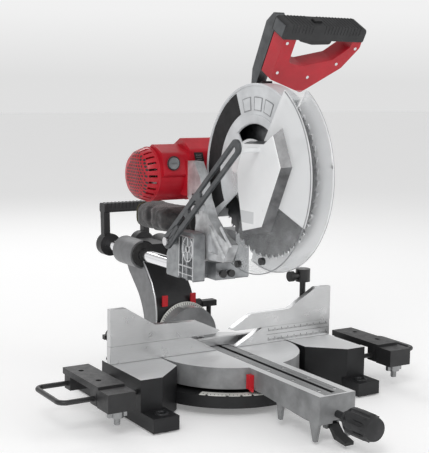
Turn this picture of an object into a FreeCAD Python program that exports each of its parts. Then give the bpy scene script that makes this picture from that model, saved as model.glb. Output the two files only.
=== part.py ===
import FreeCAD, Part
import Sketcher
import math
import os
import re

from FreeCAD import Placement, Rotation, Vector

# Sliding compound miter saw, millimetres.
# Origin on the floor under the turntable axis, +X to the operator's right,
# +Y to the rear, +Z up. The fence face is the plane y = 0.

SIZES = {
    # base and table
    "table_top": 84, "table_radius": 138.5, "table_under": 45,
    "dish_radius": "=table_radius + 21.5", "dish_low": 16, "dish_top": 38,
    "base_half": 244, "base_front": 114, "base_back": 37, "base_shoulder": 202,
    "base_inner_x": "=table_radius + 3.5", "base_inner_y": 59, "base_low": 3, "wall": 6, "deck": 9,
    "foot_inner": 194, "foot_length": 46, "foot_height": 28,
    "bolt_pitch_x": 432, "bolt_pitch_y": 274, "bolt_hole_radius": 4.5, "pad_radius": 17,
    "scale_inner": "=table_radius + 2.5", "scale_thick": 1.6,
    # fences
    "fence_half": 245.5, "fence_split": 116, "fence_thick": 14, "fence_gap": 0.4,
    "fence_tall": 184, "fence_foot": 21, "fence_lean": 81,
    # extension rods and supports
    "rod_radius": 4.5, "rod_z": 60, "rod_front": -98, "rod_back": 8, "rod_end": 385,
    "rod_inner": 158, "rod_inner_front": 200, "fit": 0.06,
    "support_inner": 275, "support_outer": 325, "support_front": -116, "support_back": 28,
    "support_nose": 38,
    # hold-down clamp
    "clamp_x": 213, "clamp_y": 50, "clamp_radius": 6, "clamp_high": 196, "socket_floor": 24,
    # table arm
    "arm_half": 36.7, "arm_front": 341, "arm_back": "=table_radius - 12.5", "arm_under": 40, "arm_wall": 6,
    "kerf_half": 22, "kerf_thick": 4, "kerf_slot": 4, "kerf_front": 336, "kerf_back": 76,
    "screw_radius": 3.4, "gap": 0.3, "lever_z": 29, "lever_pin": 2,
    # bevel joint
    "trunnion_radius": 56, "trunnion_front": 128, "trunnion_back": 157,
    "bevel_scale_radius": 62, "bevel_bolt_radius": 9,
    "bevel_left": -63, "bevel_right": 25, "bevel_face": 160.5,
    # rails
    "rail_radius": 12.5, "rail_z": 237, "rail_left": -61, "rail_right": 20,
    "rail_front": 14, "rail_rear": 392, "housing_front": 225, "housing_rear": 305,
    "housing_radius": 29, "bearing_radius": 18,
    # head pivot, arbor and blade
    "pivot_y": 4, "pivot_z": 281, "pin_radius": 7, "barrel_radius": 16.5,
    "arbor_y": -122, "arbor_z": 428, "blade_radius": 152.5, "blade_half": 1.3,
    "hub_radius": 58, "bore_radius": 12.7, "flange_radius": 24,
    # guards
    "upper_radius": 158, "upper_left": -26, "upper_right": 8, "shell": 3,
    "lower_radius": 176, "lower_left": -34, "lower_right": 14, "cover_left": -50,
    # carriage
    "lug_left": -84, "lug_inner": -61, "lug_front": -17, "lug_back": 60, "lug_top": 312,
    "block_low": 222, "block_top": 254, "stow_y": 29, "lug_right_in": 6, "lug_right_out": 36,
    # motor and belt
    "motor_y": 112, "motor_z": 412, "motor_radius": 51, "motor_left": -145, "cap_split": -112,
    "case_left": 16, "case_right": 50, "neck_left": -58, "neck_right": -38, "knob_seat": 362, "knob_y": 2,
    # guard link
    "link_y": 51, "link_z": 291, "link_left": -104, "link_thick": 6, "link_length": 310,
    "link_half": 14, "link_angle": 140.5,
    # operator handle
    "grip_left": 18, "grip_right": 188, "handle_lean": 29.5,
}

doc = FreeCAD.newDocument("MiterSaw")
sheet = doc.addObject("Spreadsheet::Sheet", "Sizes")
for row, (word, value) in enumerate(SIZES.items(), start=1):
    sheet.set(f"A{row}", word)
    sheet.set(f"B{row}", str(value))
    sheet.setAlias(f"B{row}", word)
doc.recompute()


class Sheet:
    """Sizes read back from the spreadsheet, as plain numbers."""

    def __getattr__(self, word):
        return float(sheet.get(word))


S = Sheet()
NODES = []
AXES = {"X": Rotation(Vector(0, 1, 0), 90), "Y": Rotation(Vector(1, 0, 0), -90), "Z": Rotation()}
UNIT = {"X": Vector(1, 0, 0), "Y": Vector(0, 1, 0), "Z": Vector(0, 0, 1)}


def formula(text):
    """A size formula with each word turned into its spreadsheet cell."""
    return re.sub(r"[a-z]\w*", lambda m: "Sizes." + m[0] if m[0] in SIZES else m[0], str(text))


def bind(obj, **props):
    for prop, text in props.items():
        obj.setExpression(prop.replace("_", "."), formula(text))
    return obj


def put(obj, x, y, z):
    return bind(obj, Placement_Base_x=x, Placement_Base_y=y, Placement_Base_z=z)


def box(name, x, y, z, dx, dy, dz):
    obj = doc.addObject("Part::Box", name)
    bind(obj, Length=dx, Width=dy, Height=dz)
    return put(obj, x, y, z)


def rod(name, axis, x, y, z, radius, length):
    obj = doc.addObject("Part::Cylinder", name)
    obj.Placement = Placement(Vector(), AXES[axis])
    bind(obj, Radius=radius, Height=length)
    return put(obj, x, y, z)


def fuse(name, *shapes):
    obj = doc.addObject("Part::MultiFuse", name)
    obj.Shapes = list(shapes)
    return obj


def cut(name, base, *tools):
    obj = doc.addObject("Part::Cut", name)
    obj.Base = base
    obj.Tool = tools[0] if len(tools) == 1 else fuse(name + "_tools", *tools)
    return obj


def common(name, base, tool):
    obj = doc.addObject("Part::Common", name)
    obj.Base = base
    obj.Tool = tool
    return obj


def ring(name, axis, x, y, z, outer, inner, length):
    return cut(name, rod(name + "_body", axis, x, y, z, outer, length),
               rod(name + "_bore", axis, x, y, z, inner, length))


def feature(name, shape):
    obj = doc.addObject("Part::Feature", name)
    obj.Shape = shape
    return obj


def node(label, obj):
    obj.Label = label
    NODES.append(obj)
    return obj


def plate(name, plane, points, thick, at=("0", "0", "0")):
    """A padded sketch with straight edges, its corners given as size formulas."""
    body = doc.addObject("PartDesign::Body", name)
    role = plane + "_Plane"
    origin = [f for f in body.Origin.OriginFeatures if f.Role == role][0]
    sketch = body.newObject("Sketcher::SketchObject", name + "_sketch")
    sketch.AttachmentSupport = [(origin, "")]
    sketch.MapMode = "FlatFace"
    corners = [Vector(number(u), number(v), 0) for u, v in points]
    for start, end in zip(corners, corners[1:] + corners[:1]):
        sketch.addGeometry(Part.LineSegment(start, end))
    count = len(corners)
    for i in range(count):
        sketch.addConstraint(Sketcher.Constraint("Coincident", i, 2, (i + 1) % count, 1))
    for i, (u, v) in enumerate(points):
        for kind, text in (("DistanceX", u), ("DistanceY", v)):
            index = sketch.addConstraint(
                Sketcher.Constraint(kind, -1, 1, i, 1, number(text)))
            word = f"{kind[-1].lower()}_{i}"
            sketch.renameConstraint(index, word)
            sketch.setExpression("Constraints." + word, formula(text))
    pad = body.newObject("PartDesign::Pad", name + "_pad")
    pad.Profile = sketch
    bind(pad, Length=thick)
    return put(body, *at)


def number(text):
    """The present value of a size formula, worked out in a spare cell of the sheet."""
    sheet.set("D1", f"={text}")
    sheet.recompute()
    return float(sheet.get("D1"))


def outline(points, x, thick):
    """A slab across X from corner points (y, z) or (y, z, rounding radius)."""
    wire = rounded([Vector(x, p[0], p[1]) for p in points], [p[2] if len(p) > 2 else 0 for p in points])
    return Part.Face(wire).extrude(Vector(thick, 0, 0))


def rounded(corners, radii):
    """A closed wire through the corners, with a tangent arc at each one that has a radius."""
    edges, ends = [], []
    count = len(corners)
    for i, corner in enumerate(corners):
        back = (corners[i - 1] - corner).normalize()
        ahead = (corners[(i + 1) % count] - corner).normalize()
        radius = radii[i]
        if not radius:
            ends.append((corner, corner))
            continue
        half = back.getAngle(ahead) / 2
        reach = radius / math.tan(half)
        middle = corner + (back + ahead).normalize() * (radius / math.sin(half) - radius)
        first, last = corner + back * reach, corner + ahead * reach
        ends.append((first, last))
        edges.append((i, Part.Arc(first, middle, last).toShape()))
    arcs = dict(edges)
    out = []
    for i in range(count):
        if i in arcs:
            out.append(arcs[i])
        start, end = ends[i][1], ends[(i + 1) % count][0]
        if start.distanceToPoint(end) > 1e-6:
            out.append(Part.makeLine(start, end))
    return Part.Wire(Part.__sortEdges__(out))


def sector(outer, inner, start, end, left, right, y, z):
    """A ring sector about an axis along X, from start to end degrees, measured from +Y to +Z."""
    def at(radius, degrees):
        turn = math.radians(degrees)
        return Vector(left, y + radius * math.cos(turn), z + radius * math.sin(turn))
    middle = (start + end) / 2
    edges = [
        Part.Arc(at(outer, start), at(outer, middle), at(outer, end)).toShape(),
        Part.makeLine(at(outer, end), at(inner, end)),
        Part.Arc(at(inner, end), at(inner, middle), at(inner, start)).toShape(),
        Part.makeLine(at(inner, start), at(outer, start)),
    ]
    return Part.Face(Part.Wire(edges)).extrude(Vector(right - left, 0, 0))


def disc(axis, radius, start, length, a, b):
    """A solid cylinder along X (a, b = y, z), Y (a, b = x, z) or Z (a, b = x, y)."""
    centre = {"X": Vector(start, a, b), "Y": Vector(a, start, b), "Z": Vector(a, b, start)}[axis]
    return Part.makeCylinder(radius, length, centre, UNIT[axis])


def mirrored(name, source, side):
    if side < 0:
        return source
    obj = doc.addObject("Part::Mirroring", name)
    obj.Source = source
    obj.Normal = Vector(1, 0, 0)
    obj.Base = Vector()
    return obj


# ---------------------------------------------------------------- base

def base_block(side):
    """One hollow deck block beside the turntable, open underneath."""
    name = "left_block" if side < 0 else "right_block"
    rim = [("-base_half", "base_back"), ("-base_half", "-base_front"),
           ("-base_shoulder", "-base_front"), ("-base_inner_x", "-base_inner_y"),
           ("-base_inner_x", "base_back")]
    inset = [("-base_half + wall", "base_back - wall"), ("-base_half + wall", "-base_front + wall"),
             ("-base_shoulder - wall / 2", "-base_front + wall"),
             ("-base_inner_x - wall", "-base_inner_y - wall / 2"),
             ("-base_inner_x - wall", "base_back - wall")]
    shell = plate(name, "XY", rim, "table_top - base_low", ("0", "0", "base_low"))
    hollow = plate(name + "_hollow", "XY", inset, "table_top - base_low - deck",
                   ("0", "0", "base_low"))
    socket = rod(name + "_socket", "Z", "-clamp_x", "clamp_y", "base_low", "clamp_radius + 9",
                 "table_top - base_low")
    feet = []
    for end in (-1, 1):
        tail = "front" if end < 0 else "rear"
        start = "-base_front - foot_length" if end < 0 else "base_back - wall"
        reach = "foot_length + wall" if end < 0 else "bolt_pitch_y / 2 + pad_radius + 6 - base_back + wall"
        feet.append(box(f"{name}_{tail}_foot", "-base_half", start, "base_low",
                        "base_half - foot_inner", reach, "foot_height - base_low"))
    cuts = [hollow, rod(name + "_socket_bore", "Z", "-clamp_x", "clamp_y", "socket_floor",
                        "clamp_radius + fit", "table_top")]
    for leg in ("rod_front", "rod_back"):
        cuts.append(rod(f"{name}_{leg}_bore", "X", "-base_half - 1", leg, "rod_z",
                        "rod_radius + fit", "wall + 2"))
    whole = cut(name + "_cut", fuse(name + "_whole", shell, socket), *cuts)
    bores = []
    for end in (-1, 1):
        bores.append(rod(f"{name}_bolt_{'front' if end < 0 else 'rear'}", "Z", "-bolt_pitch_x / 2",
                         f"{end} * bolt_pitch_y / 2", "0", "bolt_hole_radius", "foot_height + 1"))
    made = cut(name + "_done", fuse(name + "_footed", whole, *feet), *bores)
    return mirrored(name + "_mirror", made, side)


def base_casting():
    dish = rod("dish", "Z", "0", "0", "dish_low", "dish_radius", "dish_top - dish_low")
    hollow = rod("dish_hollow", "Z", "0", "0", "dish_low - 1", "dish_radius - wall * 3",
                 "dish_top - dish_low - wall + 1")
    hub = rod("dish_hub", "Z", "0", "0", "dish_low", "pin_radius * 4", "dish_top - dish_low")
    bore = rod("dish_bore", "Z", "0", "0", "0", "pin_radius + fit", "table_top")
    bridge = box("base_bridge", "-base_half + wall", "-wall * 2", "base_low + wall",
                 "2 * base_half - 2 * wall", "wall * 4", "dish_top - base_low - wall * 2")
    bowl = fuse("dish_whole", cut("dish_shell", dish, hollow), hub, bridge)
    return cut("base_casting", fuse("base_all", bowl, base_block(-1), base_block(1)), bore)


def miter_scale():
    spread = 100
    plate_ring = ring("scale_ring", "Z", "0", "0", "dish_top", "dish_radius - 0.5", "scale_inner",
                      "scale_thick")
    wedge = doc.addObject("Part::Cylinder", "scale_wedge")
    wedge.Placement = Placement(Vector(), Rotation(Vector(0, 0, 1), -90 - spread / 2))
    wedge.Angle = spread
    bind(wedge, Radius="dish_radius", Height="table_top")
    notches = []
    for degrees in (-45, -31.6, -22.5, -15, 0, 15, 22.5, 31.6, 45):
        notch = doc.addObject("Part::Box", "scale_notch")
        notch.Placement = Placement(Vector(), Rotation(Vector(0, 0, 1), degrees))
        bind(notch, Length=5, Width=8, Height="scale_thick + 2")
        turn = f"{degrees} deg"
        put(notch, f"-2.5 * cos({turn}) + (dish_radius + 2) * sin({turn})",
            f"-2.5 * sin({turn}) - (dish_radius + 2) * cos({turn})", "dish_top - 1")
        notches.append(notch)
    return cut("miter_scale", common("scale_part", plate_ring, wedge), *notches)


def fixed_fence():
    """Two low fence faces tied by a bridge behind the cut."""
    low = "table_top + fence_gap"
    sides = []
    for side in (-1, 1):
        points = [(f"{side} * fence_half", low), (f"{side} * fence_foot", low),
                  (f"{side} * fence_lean", "fence_split"), (f"{side} * fence_half", "fence_split")]
        sides.append(plate("fence_face", "XZ", points, "fence_thick", ("0", "fence_thick", "0")))
        sides.append(box("fence_web", f"{side} * 106 - 14", "fence_thick - 1", low, "28",
                         "22", "16"))
    bridge = box("fence_bridge", "-122", "fence_thick + 14", low, "244", "10", "16")
    return fuse("fixed_fence", *sides, bridge)


def rubber_feet():
    pads = []
    for x in (-1, 1):
        for y in (-1, 1):
            pads.append(ring("foot_pad", "Z", f"{x} * bolt_pitch_x / 2", f"{y} * bolt_pitch_y / 2",
                             "0", "pad_radius", "bolt_hole_radius + gap", "base_low"))
    obj = doc.addObject("Part::Compound", "rubber_feet")
    obj.Links = pads
    return obj


def sliding_fence(side):
    """Tall fence face with a guide web behind the fixed one."""
    low = "fence_split + fence_gap"
    tall = "fence_tall"
    if side < 0:
        name = "left_sliding_fence"
        top = [("-15", "fence_split + 6"), ("-66", "fence_split + 29"), ("-155", "fence_split + 32"),
               ("-214", tall), ("-fence_half", tall)]
        web_x, web_long = "-fence_half + 4", "120"
        points = [("-fence_half", low), ("-81", low), ("-27", low)] + top
    else:
        name = "right_sliding_fence"
        top = [("9", "fence_split + 4"), ("56", "fence_split + 30"), ("144", "fence_split + 31"),
               ("209", tall), ("fence_half", tall)]
        web_x, web_long = "fence_half - 124", "120"
        points = [("fence_half", low), ("81", low), ("20", low)] + top
    face = plate(name + "_face", "XZ", points, "fence_thick - 2", ("0", "fence_thick - 2", "0"))
    arm = box(name + "_arm", web_x, "fence_thick - 4", low, web_long, "12", "22")
    web = box(name + "_web", web_x, "fence_thick + fence_gap", "table_top + 8", web_long,
              "8 - fence_gap", "fence_split - table_top")
    bore = rod(name + "_bore", "Y", f"{side} * (fence_half - 22)", "0", "fence_split + 12",
               "2 * fit + 3", "60")
    front = box(name + "_front", f"{side} * fence_half - 30", "-1", low, "60",
                "fence_thick - 3", "24")
    body = fuse(name + "_body", face, arm, web)
    return cut(name, body, cut(name + "_hole", bore, front))


def fence_knob(side):
    name = "left_fence_knob" if side < 0 else "right_fence_knob"
    x = f"{side} * (fence_half - 22)"
    z = "fence_split + 12"
    start = "fence_thick + 8 + gap"
    grip = rod(name + "_grip", "Y", x, start, z, "14", "16")
    stud = rod(name + "_stud", "Y", x, "fence_thick", z, "3", "12")
    wings = box(name + "_wing", f"{x} - 20", start + " + 4", z + " - 4", "40", "10", "8")
    return fuse(name, grip, stud, wings)


def extension_rod(side):
    """U-shaped rod whose two legs slide in the base wall."""
    name = "left_extension_rod" if side < 0 else "right_extension_rod"
    bend = 14
    x1, z = side * S.rod_end, S.rod_z
    corners = [Vector(side * S.rod_inner_front, S.rod_front, z), Vector(x1, S.rod_front, z),
               Vector(x1, S.rod_back, z), Vector(side * S.rod_inner, S.rod_back, z)]
    a, b, c, d = corners
    inward = Vector(-side * bend, 0, 0)
    along = Vector(0, bend, 0)
    slant = bend * (1 - math.sqrt(0.5))
    corner = Vector(-side * slant, slant, 0)
    far = Vector(-side * slant, -slant, 0)
    edges = [Part.makeLine(a, b + inward),
             Part.Arc(b + inward, b + corner, b + along).toShape(),
             Part.makeLine(b + along, c - along),
             Part.Arc(c - along, c + far, c + inward).toShape(),
             Part.makeLine(c + inward, d)]
    circle = Part.Wire(Part.makeCircle(S.rod_radius, a, Vector(1, 0, 0)))
    return feature(name, Part.Wire(edges).makePipeShell([circle], True, False))


def support(side):
    """Bed support that slides on the two rod legs, with a dropped nose at the front."""
    name = "left_support" if side < 0 else "right_support"
    wide = "support_outer - support_inner"
    left = "-support_outer"
    pad = box(name + "_pad", left, "support_front", "table_top - 11", wide,
              "support_back - support_front", "11")
    nose = box(name + "_nose", left, "support_front - support_nose", "rod_z - 12", wide,
               "support_nose + 4", "table_top - rod_z + 8")
    parts = [pad, nose]
    for leg in ("rod_front", "rod_back"):
        parts.append(box(f"{name}_{leg}", left, leg + " - 12", "rod_z - 11", wide, "24",
                         "table_top - rod_z"))
    holes = []
    for leg in ("rod_front", "rod_back"):
        holes.append(rod(f"{name}_{leg}_bore", "X", left + " - 1", leg, "rod_z",
                         "rod_radius + fit", wide + " + 2"))
    for y in (-70, 0):
        holes.append(rod(name + "_eye", "Z", "-support_outer + 19", f"{y} - 8", "table_top - 12",
                         "5", "14"))
    holes.append(rod(name + "_thread", "Z", "-(support_outer + support_inner) / 2",
                     "support_front - 20", "rod_z - 13", "4 + fit", "14"))
    return mirrored(name + "_mirror", cut(name + "_cut", fuse(name + "_body", *parts), *holes), side)


def support_screw(side):
    name = "left_support_screw" if side < 0 else "right_support_screw"
    x = f"{side} * (support_outer + support_inner) / 2"
    y = "support_front - 20"
    stud = rod(name + "_stud", "Z", x, y, "rod_z - 16", "4", "14")
    grip = rod(name + "_grip", "Z", x, y, "rod_z - 25", "11", "12")
    wings = box(name + "_wings", f"{x} - 17", f"{y} - 3.5", "rod_z - 24", "34", "7", "9")
    return fuse(name, stud, grip, wings)


def clamp_post():
    """Post of the hold-down clamp with its pressed-on head."""
    post = rod("clamp_rod", "Z", "clamp_x", "clamp_y", "socket_floor + 4", "clamp_radius",
               "clamp_high + 6 - socket_floor")
    body = rod("clamp_head_body", "Z", "clamp_x", "clamp_y", "clamp_high - 8", "15", "26")
    boss = rod("clamp_boss", "X", "clamp_x - 24", "clamp_y", "clamp_high + 4", "7", "20")
    thread = rod("clamp_thread", "X", "clamp_x - 25", "clamp_y", "clamp_high + 4", "3 + fit",
                 "19")
    return cut("clamp_post", fuse("clamp_post_all", post, body, boss), thread)


def clamp_knob():
    grip = rod("clamp_grip", "X", "clamp_x - 34", "clamp_y", "clamp_high + 4", "10.5", "9.5")
    stud = rod("clamp_stud", "X", "clamp_x - 26", "clamp_y", "clamp_high + 4", "3", "18")
    return fuse("clamp_knob", grip, stud)


# ----------------------------------------------------------- turntable

def screw_places():
    return [(x, y) for y in (-312, -238, -164, -60) for x in (-1, 1)]


def turntable():
    """Rotating table with the rear trunnion that carries the bevel joint."""
    table = rod("table_disc", "Z", "0", "0", "table_under", "table_radius",
                "table_top - table_under")
    tail = box("table_tail", "-trunnion_radius + 6", "90", "table_under", "2 * trunnion_radius - 12",
               "trunnion_back - 92", "table_top - table_under - 10")
    drum = rod("trunnion_drum", "Y", "0", "trunnion_front", "table_top", "trunnion_radius",
               "trunnion_back - trunnion_front")
    king = rod("king_pin", "Z", "0", "0", "dish_low + 4", "pin_radius", "table_under - dish_low")
    flat = box("arm_seat", "-arm_half", "-table_radius - 1", "table_under - 1", "2 * arm_half",
               "table_radius + 1 - arm_back", "table_top")
    channel = box("kerf_channel", "-kerf_half - gap", "-table_radius", "table_top - kerf_thick",
                  "2 * kerf_half + 2 * gap", "table_radius + kerf_back + gap", "kerf_thick + 1")
    trough = box("kerf_trough", "-kerf_half + 10", "-table_radius", "table_top - 16",
                 "2 * kerf_half - 20", "table_radius + kerf_back - 10", "17")
    under = box("drum_under", "-trunnion_radius", "trunnion_front - 1", "0",
                "2 * trunnion_radius", "trunnion_back - trunnion_front + 2", "table_under")
    bore = rod("trunnion_bore", "Y", "0", "90", "table_top", "bevel_bolt_radius + fit", "90")
    holes = [rod("table_screw_hole", "Z", f"{x} * (kerf_half - 6)", f"{y}", "table_top - 9",
                 "screw_radius + gap", "10") for x, y in screw_places() if y > -S.arm_back]
    body = fuse("table_body", table, tail, drum, king)
    return cut("turntable", body, flat, channel, trough, under, bore, *holes)


def table_arm():
    """Cast front arm, hollow underneath, with two pairs of legs."""
    side = [("-arm_back", "table_top"), ("-arm_front", "table_top"), ("-arm_front", "arm_under - 4"),
            ("-arm_front + 40", "arm_under - 4"), ("-dish_radius - 8", "table_under + 2"),
            ("-arm_back", "table_under + 2")]
    solid = plate("arm_profile", "YZ", side, "2 * arm_half", ("-arm_half", "0", "0"))
    inner = box("arm_hollow", "-arm_half + arm_wall", "-arm_front + arm_wall + 8",
                "0", "2 * arm_half - 2 * arm_wall", "arm_front - dish_radius - 20",
                "table_top - 16 - arm_wall")
    legs = []
    for x in ("-arm_half", "arm_half - arm_wall"):
        middle = [("-238", "arm_under + 12"), ("-232", "15"), ("-225", "15"), ("-218", "arm_under + 12")]
        front = [("-340", "arm_under + 2"), ("-331", "5"), ("-324", "5"), ("-312", "arm_under + 2")]
        legs.append(plate("arm_leg", "YZ", middle, "arm_wall", (x, "0", "0")))
        legs.append(plate("arm_leg", "YZ", front, "arm_wall", (x, "0", "0")))
    channel = box("arm_channel", "-kerf_half - gap", "-kerf_front - gap", "table_top - kerf_thick",
                  "2 * kerf_half + 2 * gap", "kerf_front", "kerf_thick + 1")
    trough = box("arm_trough", "-kerf_half + 10", "-kerf_front + 8", "table_top - 16",
                 "2 * kerf_half - 20", "kerf_front", "17")
    knob_bore = rod("knob_bore", "Y", "0", "-arm_front - 1", "arm_under + 11", "6 + fit", "17")
    slit = box("lever_slit", "-9 - gap", "-arm_front - 1", "0", "18 + 2 * gap", "24",
               "arm_under + 0.5")
    holes = [rod("arm_screw_hole", "Z", f"{x} * (kerf_half - 6)", f"{y}", "table_top - 9",
                 "screw_radius + gap", "10") for x, y in screw_places() if y < -S.arm_back]
    shell = cut("arm_cut", fuse("arm_body", cut("arm_shell", solid, inner), *legs),
                channel, trough, knob_bore, slit, *holes)
    # two ears under the arm's end, with the detent lever's pin
    ears = [box("lever_ear", x, "-arm_front + 11", "lever_z - 5", "4", "10", "arm_under - lever_z + 4")
            for x in ("-13.3", "9.3")]
    pin = rod("lever_pivot", "X", "-13", "-arm_front + 16", "lever_z", "lever_pin", "26")
    return fuse("table_arm", shell, pin, *ears)


def kerf_plate():
    body = box("kerf_body", "-kerf_half", "-kerf_front", "table_top - kerf_thick", "2 * kerf_half",
               "kerf_front + kerf_back", "kerf_thick")
    slot = box("kerf_slit", "-kerf_slot", "-kerf_front + 8", "table_top - kerf_thick - 1",
               "2 * kerf_slot", "kerf_front + kerf_back - 16", "kerf_thick + 2")
    holes = [rod("kerf_hole", "Z", f"{x} * (kerf_half - 6)", f"{y}",
                 "table_top - kerf_thick - 1", "screw_radius + gap", "kerf_thick + 2")
             for x, y in screw_places()]
    return cut("kerf_plate", body, slot, *holes)


def kerf_screws():
    obj = doc.addObject("Part::Compound", "kerf_screws")
    obj.Links = [rod("kerf_screw", "Z", f"{x} * (kerf_half - 6)", f"{y}", "table_top - 8.5",
                     "screw_radius", "8.1") for x, y in screw_places()]
    return obj


def miter_pointer():
    block = box("pointer_block", "-arm_half - 9", "-arm_back - 24", "table_under + 3",
                "9", "12", "26")
    tip = box("pointer_tip", "-arm_half - 6", "-arm_back - 28", "table_under - 1", "3", "10", "8")
    return fuse("miter_pointer", block, tip)


def bevel_scale():
    full = rod("bevel_scale_disc", "Y", "0", "trunnion_back", "table_top", "bevel_scale_radius", "2")
    low = box("bevel_scale_low", "-100", "trunnion_back - 1", "0", "200", "4", "table_top + 10")
    return cut("bevel_scale", full, low)


def miter_knob():
    """Ribbed locking knob on the front of the table arm."""
    shaft = disc("Y", 6, -S.arm_front - 24, 38, 0, S.arm_under + 11)
    profile = [(6, -22), (12, -24), (15, -30), (22, -40), (23, -52), (23, -82), (19, -96), (0, -100)]
    points = [Vector(0, -S.arm_front + y, S.arm_under + 11 + r) for r, y in profile]
    points.append(Vector(0, -S.arm_front - 22, S.arm_under + 11))
    face = Part.Face(Part.makePolygon(points + points[:1]))
    grip = face.revolve(Vector(0, 0, S.arm_under + 11), Vector(0, 1, 0), 360)
    flutes = []
    for i in range(8):
        turn = math.radians(i * 45 + 22.5)
        flutes.append(disc("Y", 5, -S.arm_front - 110, 68, 25.5 * math.cos(turn),
                           S.arm_under + 11 + 25.5 * math.sin(turn)))
    return feature("miter_knob", grip.cut(Part.makeCompound(flutes)).fuse(shaft).removeSplitter())


def detent_lever():
    """Sprung lever under the arm's end that lifts the detent pin."""
    points = [("-arm_front + 22", "26"), ("-arm_front + 22", "33"), ("-arm_front + 6", "33"),
              ("-arm_front - 8", "20"), ("-arm_front - 34", "13"), ("-arm_front - 34", "7"),
              ("-arm_front - 4", "10"), ("-arm_front + 8", "24")]
    lever = plate("lever_plate", "YZ", points, "18", ("-9", "0", "0"))
    eye = rod("lever_eye", "X", "-10", "-arm_front + 16", "lever_z", "lever_pin + fit", "20")
    return cut("detent_lever", lever, eye)


# ----------------------------------------------------------- bevel arm

def rail_xs():
    return ("rail_left", "rail_right")


def bevel_arm():
    """Curved rear arm with a drum at the bevel axis and the rail housing on top."""
    curve = [(S.bevel_face + 2, 96), (S.bevel_face + 2, 150, 90), (S.housing_front, 226),
             (S.housing_rear, 226), (S.housing_rear - 22, 196, 30), (S.bevel_face + 62, 140, 120),
             (S.bevel_face + 44, 60, 20), (S.bevel_face + 2, 60)]
    neck = outline(curve, S.bevel_left, S.bevel_right - S.bevel_left)
    drum = disc("Y", 50, S.bevel_face + 0.5, 42, 0, S.table_top)
    shape = neck.fuse(drum)
    long = S.housing_rear - S.housing_front
    for x in (S.rail_left, S.rail_right):
        shape = shape.fuse(disc("Y", S.housing_radius, S.housing_front, long, x, S.rail_z))
    web = Part.makeBox(S.rail_right - S.rail_left, long, 44,
                       Vector(S.rail_left, S.housing_front, S.rail_z - 24))
    shape = shape.fuse(web)
    lever_boss = disc("X", 11, S.bevel_right - 4, 14, S.bevel_face + 22, 134)
    shape = shape.fuse(lever_boss)
    for x in (S.rail_left, S.rail_right):
        shape = shape.cut(disc("Y", S.bearing_radius, S.housing_front - 5, long + 10, x, S.rail_z))
    shape = shape.cut(disc("Y", S.bevel_bolt_radius, 150, 80, 0, S.table_top))
    shape = shape.cut(disc("Y", 18, S.bevel_face + 42.5, 60, 0, S.table_top))
    for x in (S.rail_left, S.rail_right):
        shape = shape.cut(disc("Y", S.housing_radius - 3.5, S.housing_front - 5.5, 5.5, x, S.rail_z))
    shape = shape.cut(disc("X", 5 + S.fit, S.bevel_right - 15, 40, S.bevel_face + 22, 134))
    shape = shape.cut(disc("X", 4 + S.fit, S.rail_right + S.bearing_radius - 1, 20, 265, S.rail_z))
    return feature("bevel_arm", shape.removeSplitter())


def bevel_pointers():
    pieces = []
    for x in (-45, 20):
        tab = box("pointer_tab", f"{x} - 6", "bevel_face - 1", "table_top + 56", "12", "3", "22")
        pieces.append(tab)
    obj = doc.addObject("Part::Compound", "bevel_pointers")
    obj.Links = pieces
    return obj


def linear_bearings():
    pieces = []
    for x in rail_xs():
        for start in ("housing_front + 8", "housing_rear - 30"):
            pieces.append(ring("bearing", "Y", x, start, "rail_z", "bearing_radius",
                               "rail_radius + fit", "22"))
    obj = doc.addObject("Part::Compound", "linear_bearings")
    obj.Links = pieces
    return obj


def rail_seals():
    pieces = []
    for x in rail_xs():
        for start in ("housing_front - 5", "housing_rear"):
            pieces.append(ring("seal", "Y", x, start, "rail_z", "housing_radius - 4",
                               "rail_radius + gap", "5"))
    obj = doc.addObject("Part::Compound", "rail_seals")
    obj.Links = pieces
    return obj


def bevel_pivot_bolt():
    shank = rod("pivot_shank", "Y", "0", "98", "table_top", "bevel_bolt_radius",
                "bevel_face + 42 - 98")
    head = rod("pivot_head", "Y", "0", "bevel_face + 42.5", "table_top", "17", "12")
    link = rod("pivot_neck", "Y", "0", "bevel_face + 40", "table_top", "bevel_bolt_radius", "4")
    return fuse("bevel_pivot_bolt", shank, head, link)


def bevel_lock_lever():
    y = "bevel_face + 22"
    stud = rod("lock_stud", "X", "bevel_right - 10", y, "134", "5", "38")
    hub = rod("lock_hub", "X", "bevel_right + 10 + gap", y, "134", "10", "14")
    bar = box("lock_bar", "bevel_right + 24", "bevel_face + 10", "128", "34", "18", "12")
    grip = rod("lock_grip", "Z", "bevel_right + 44", "bevel_face + 19", "97", "5", "34")
    return fuse("bevel_lock_lever", stud, hub, bar, grip)


def rail_lock_knob():
    stud = rod("rail_stud", "X", "rail_right + bearing_radius + gap", "265", "rail_z", "4", "24")
    grip = rod("rail_grip", "X", "rail_right + housing_radius + 3", "265", "rail_z", "15", "20")
    return fuse("rail_lock_knob", stud, grip)


# --------------------------------------------------------------- slide

def rails():
    obj = doc.addObject("Part::Compound", "rails")
    obj.Links = [rod("rail", "Y", x, "rail_front", "rail_z", "rail_radius",
                     "rail_rear - rail_front") for x in rail_xs()]
    return obj


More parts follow.
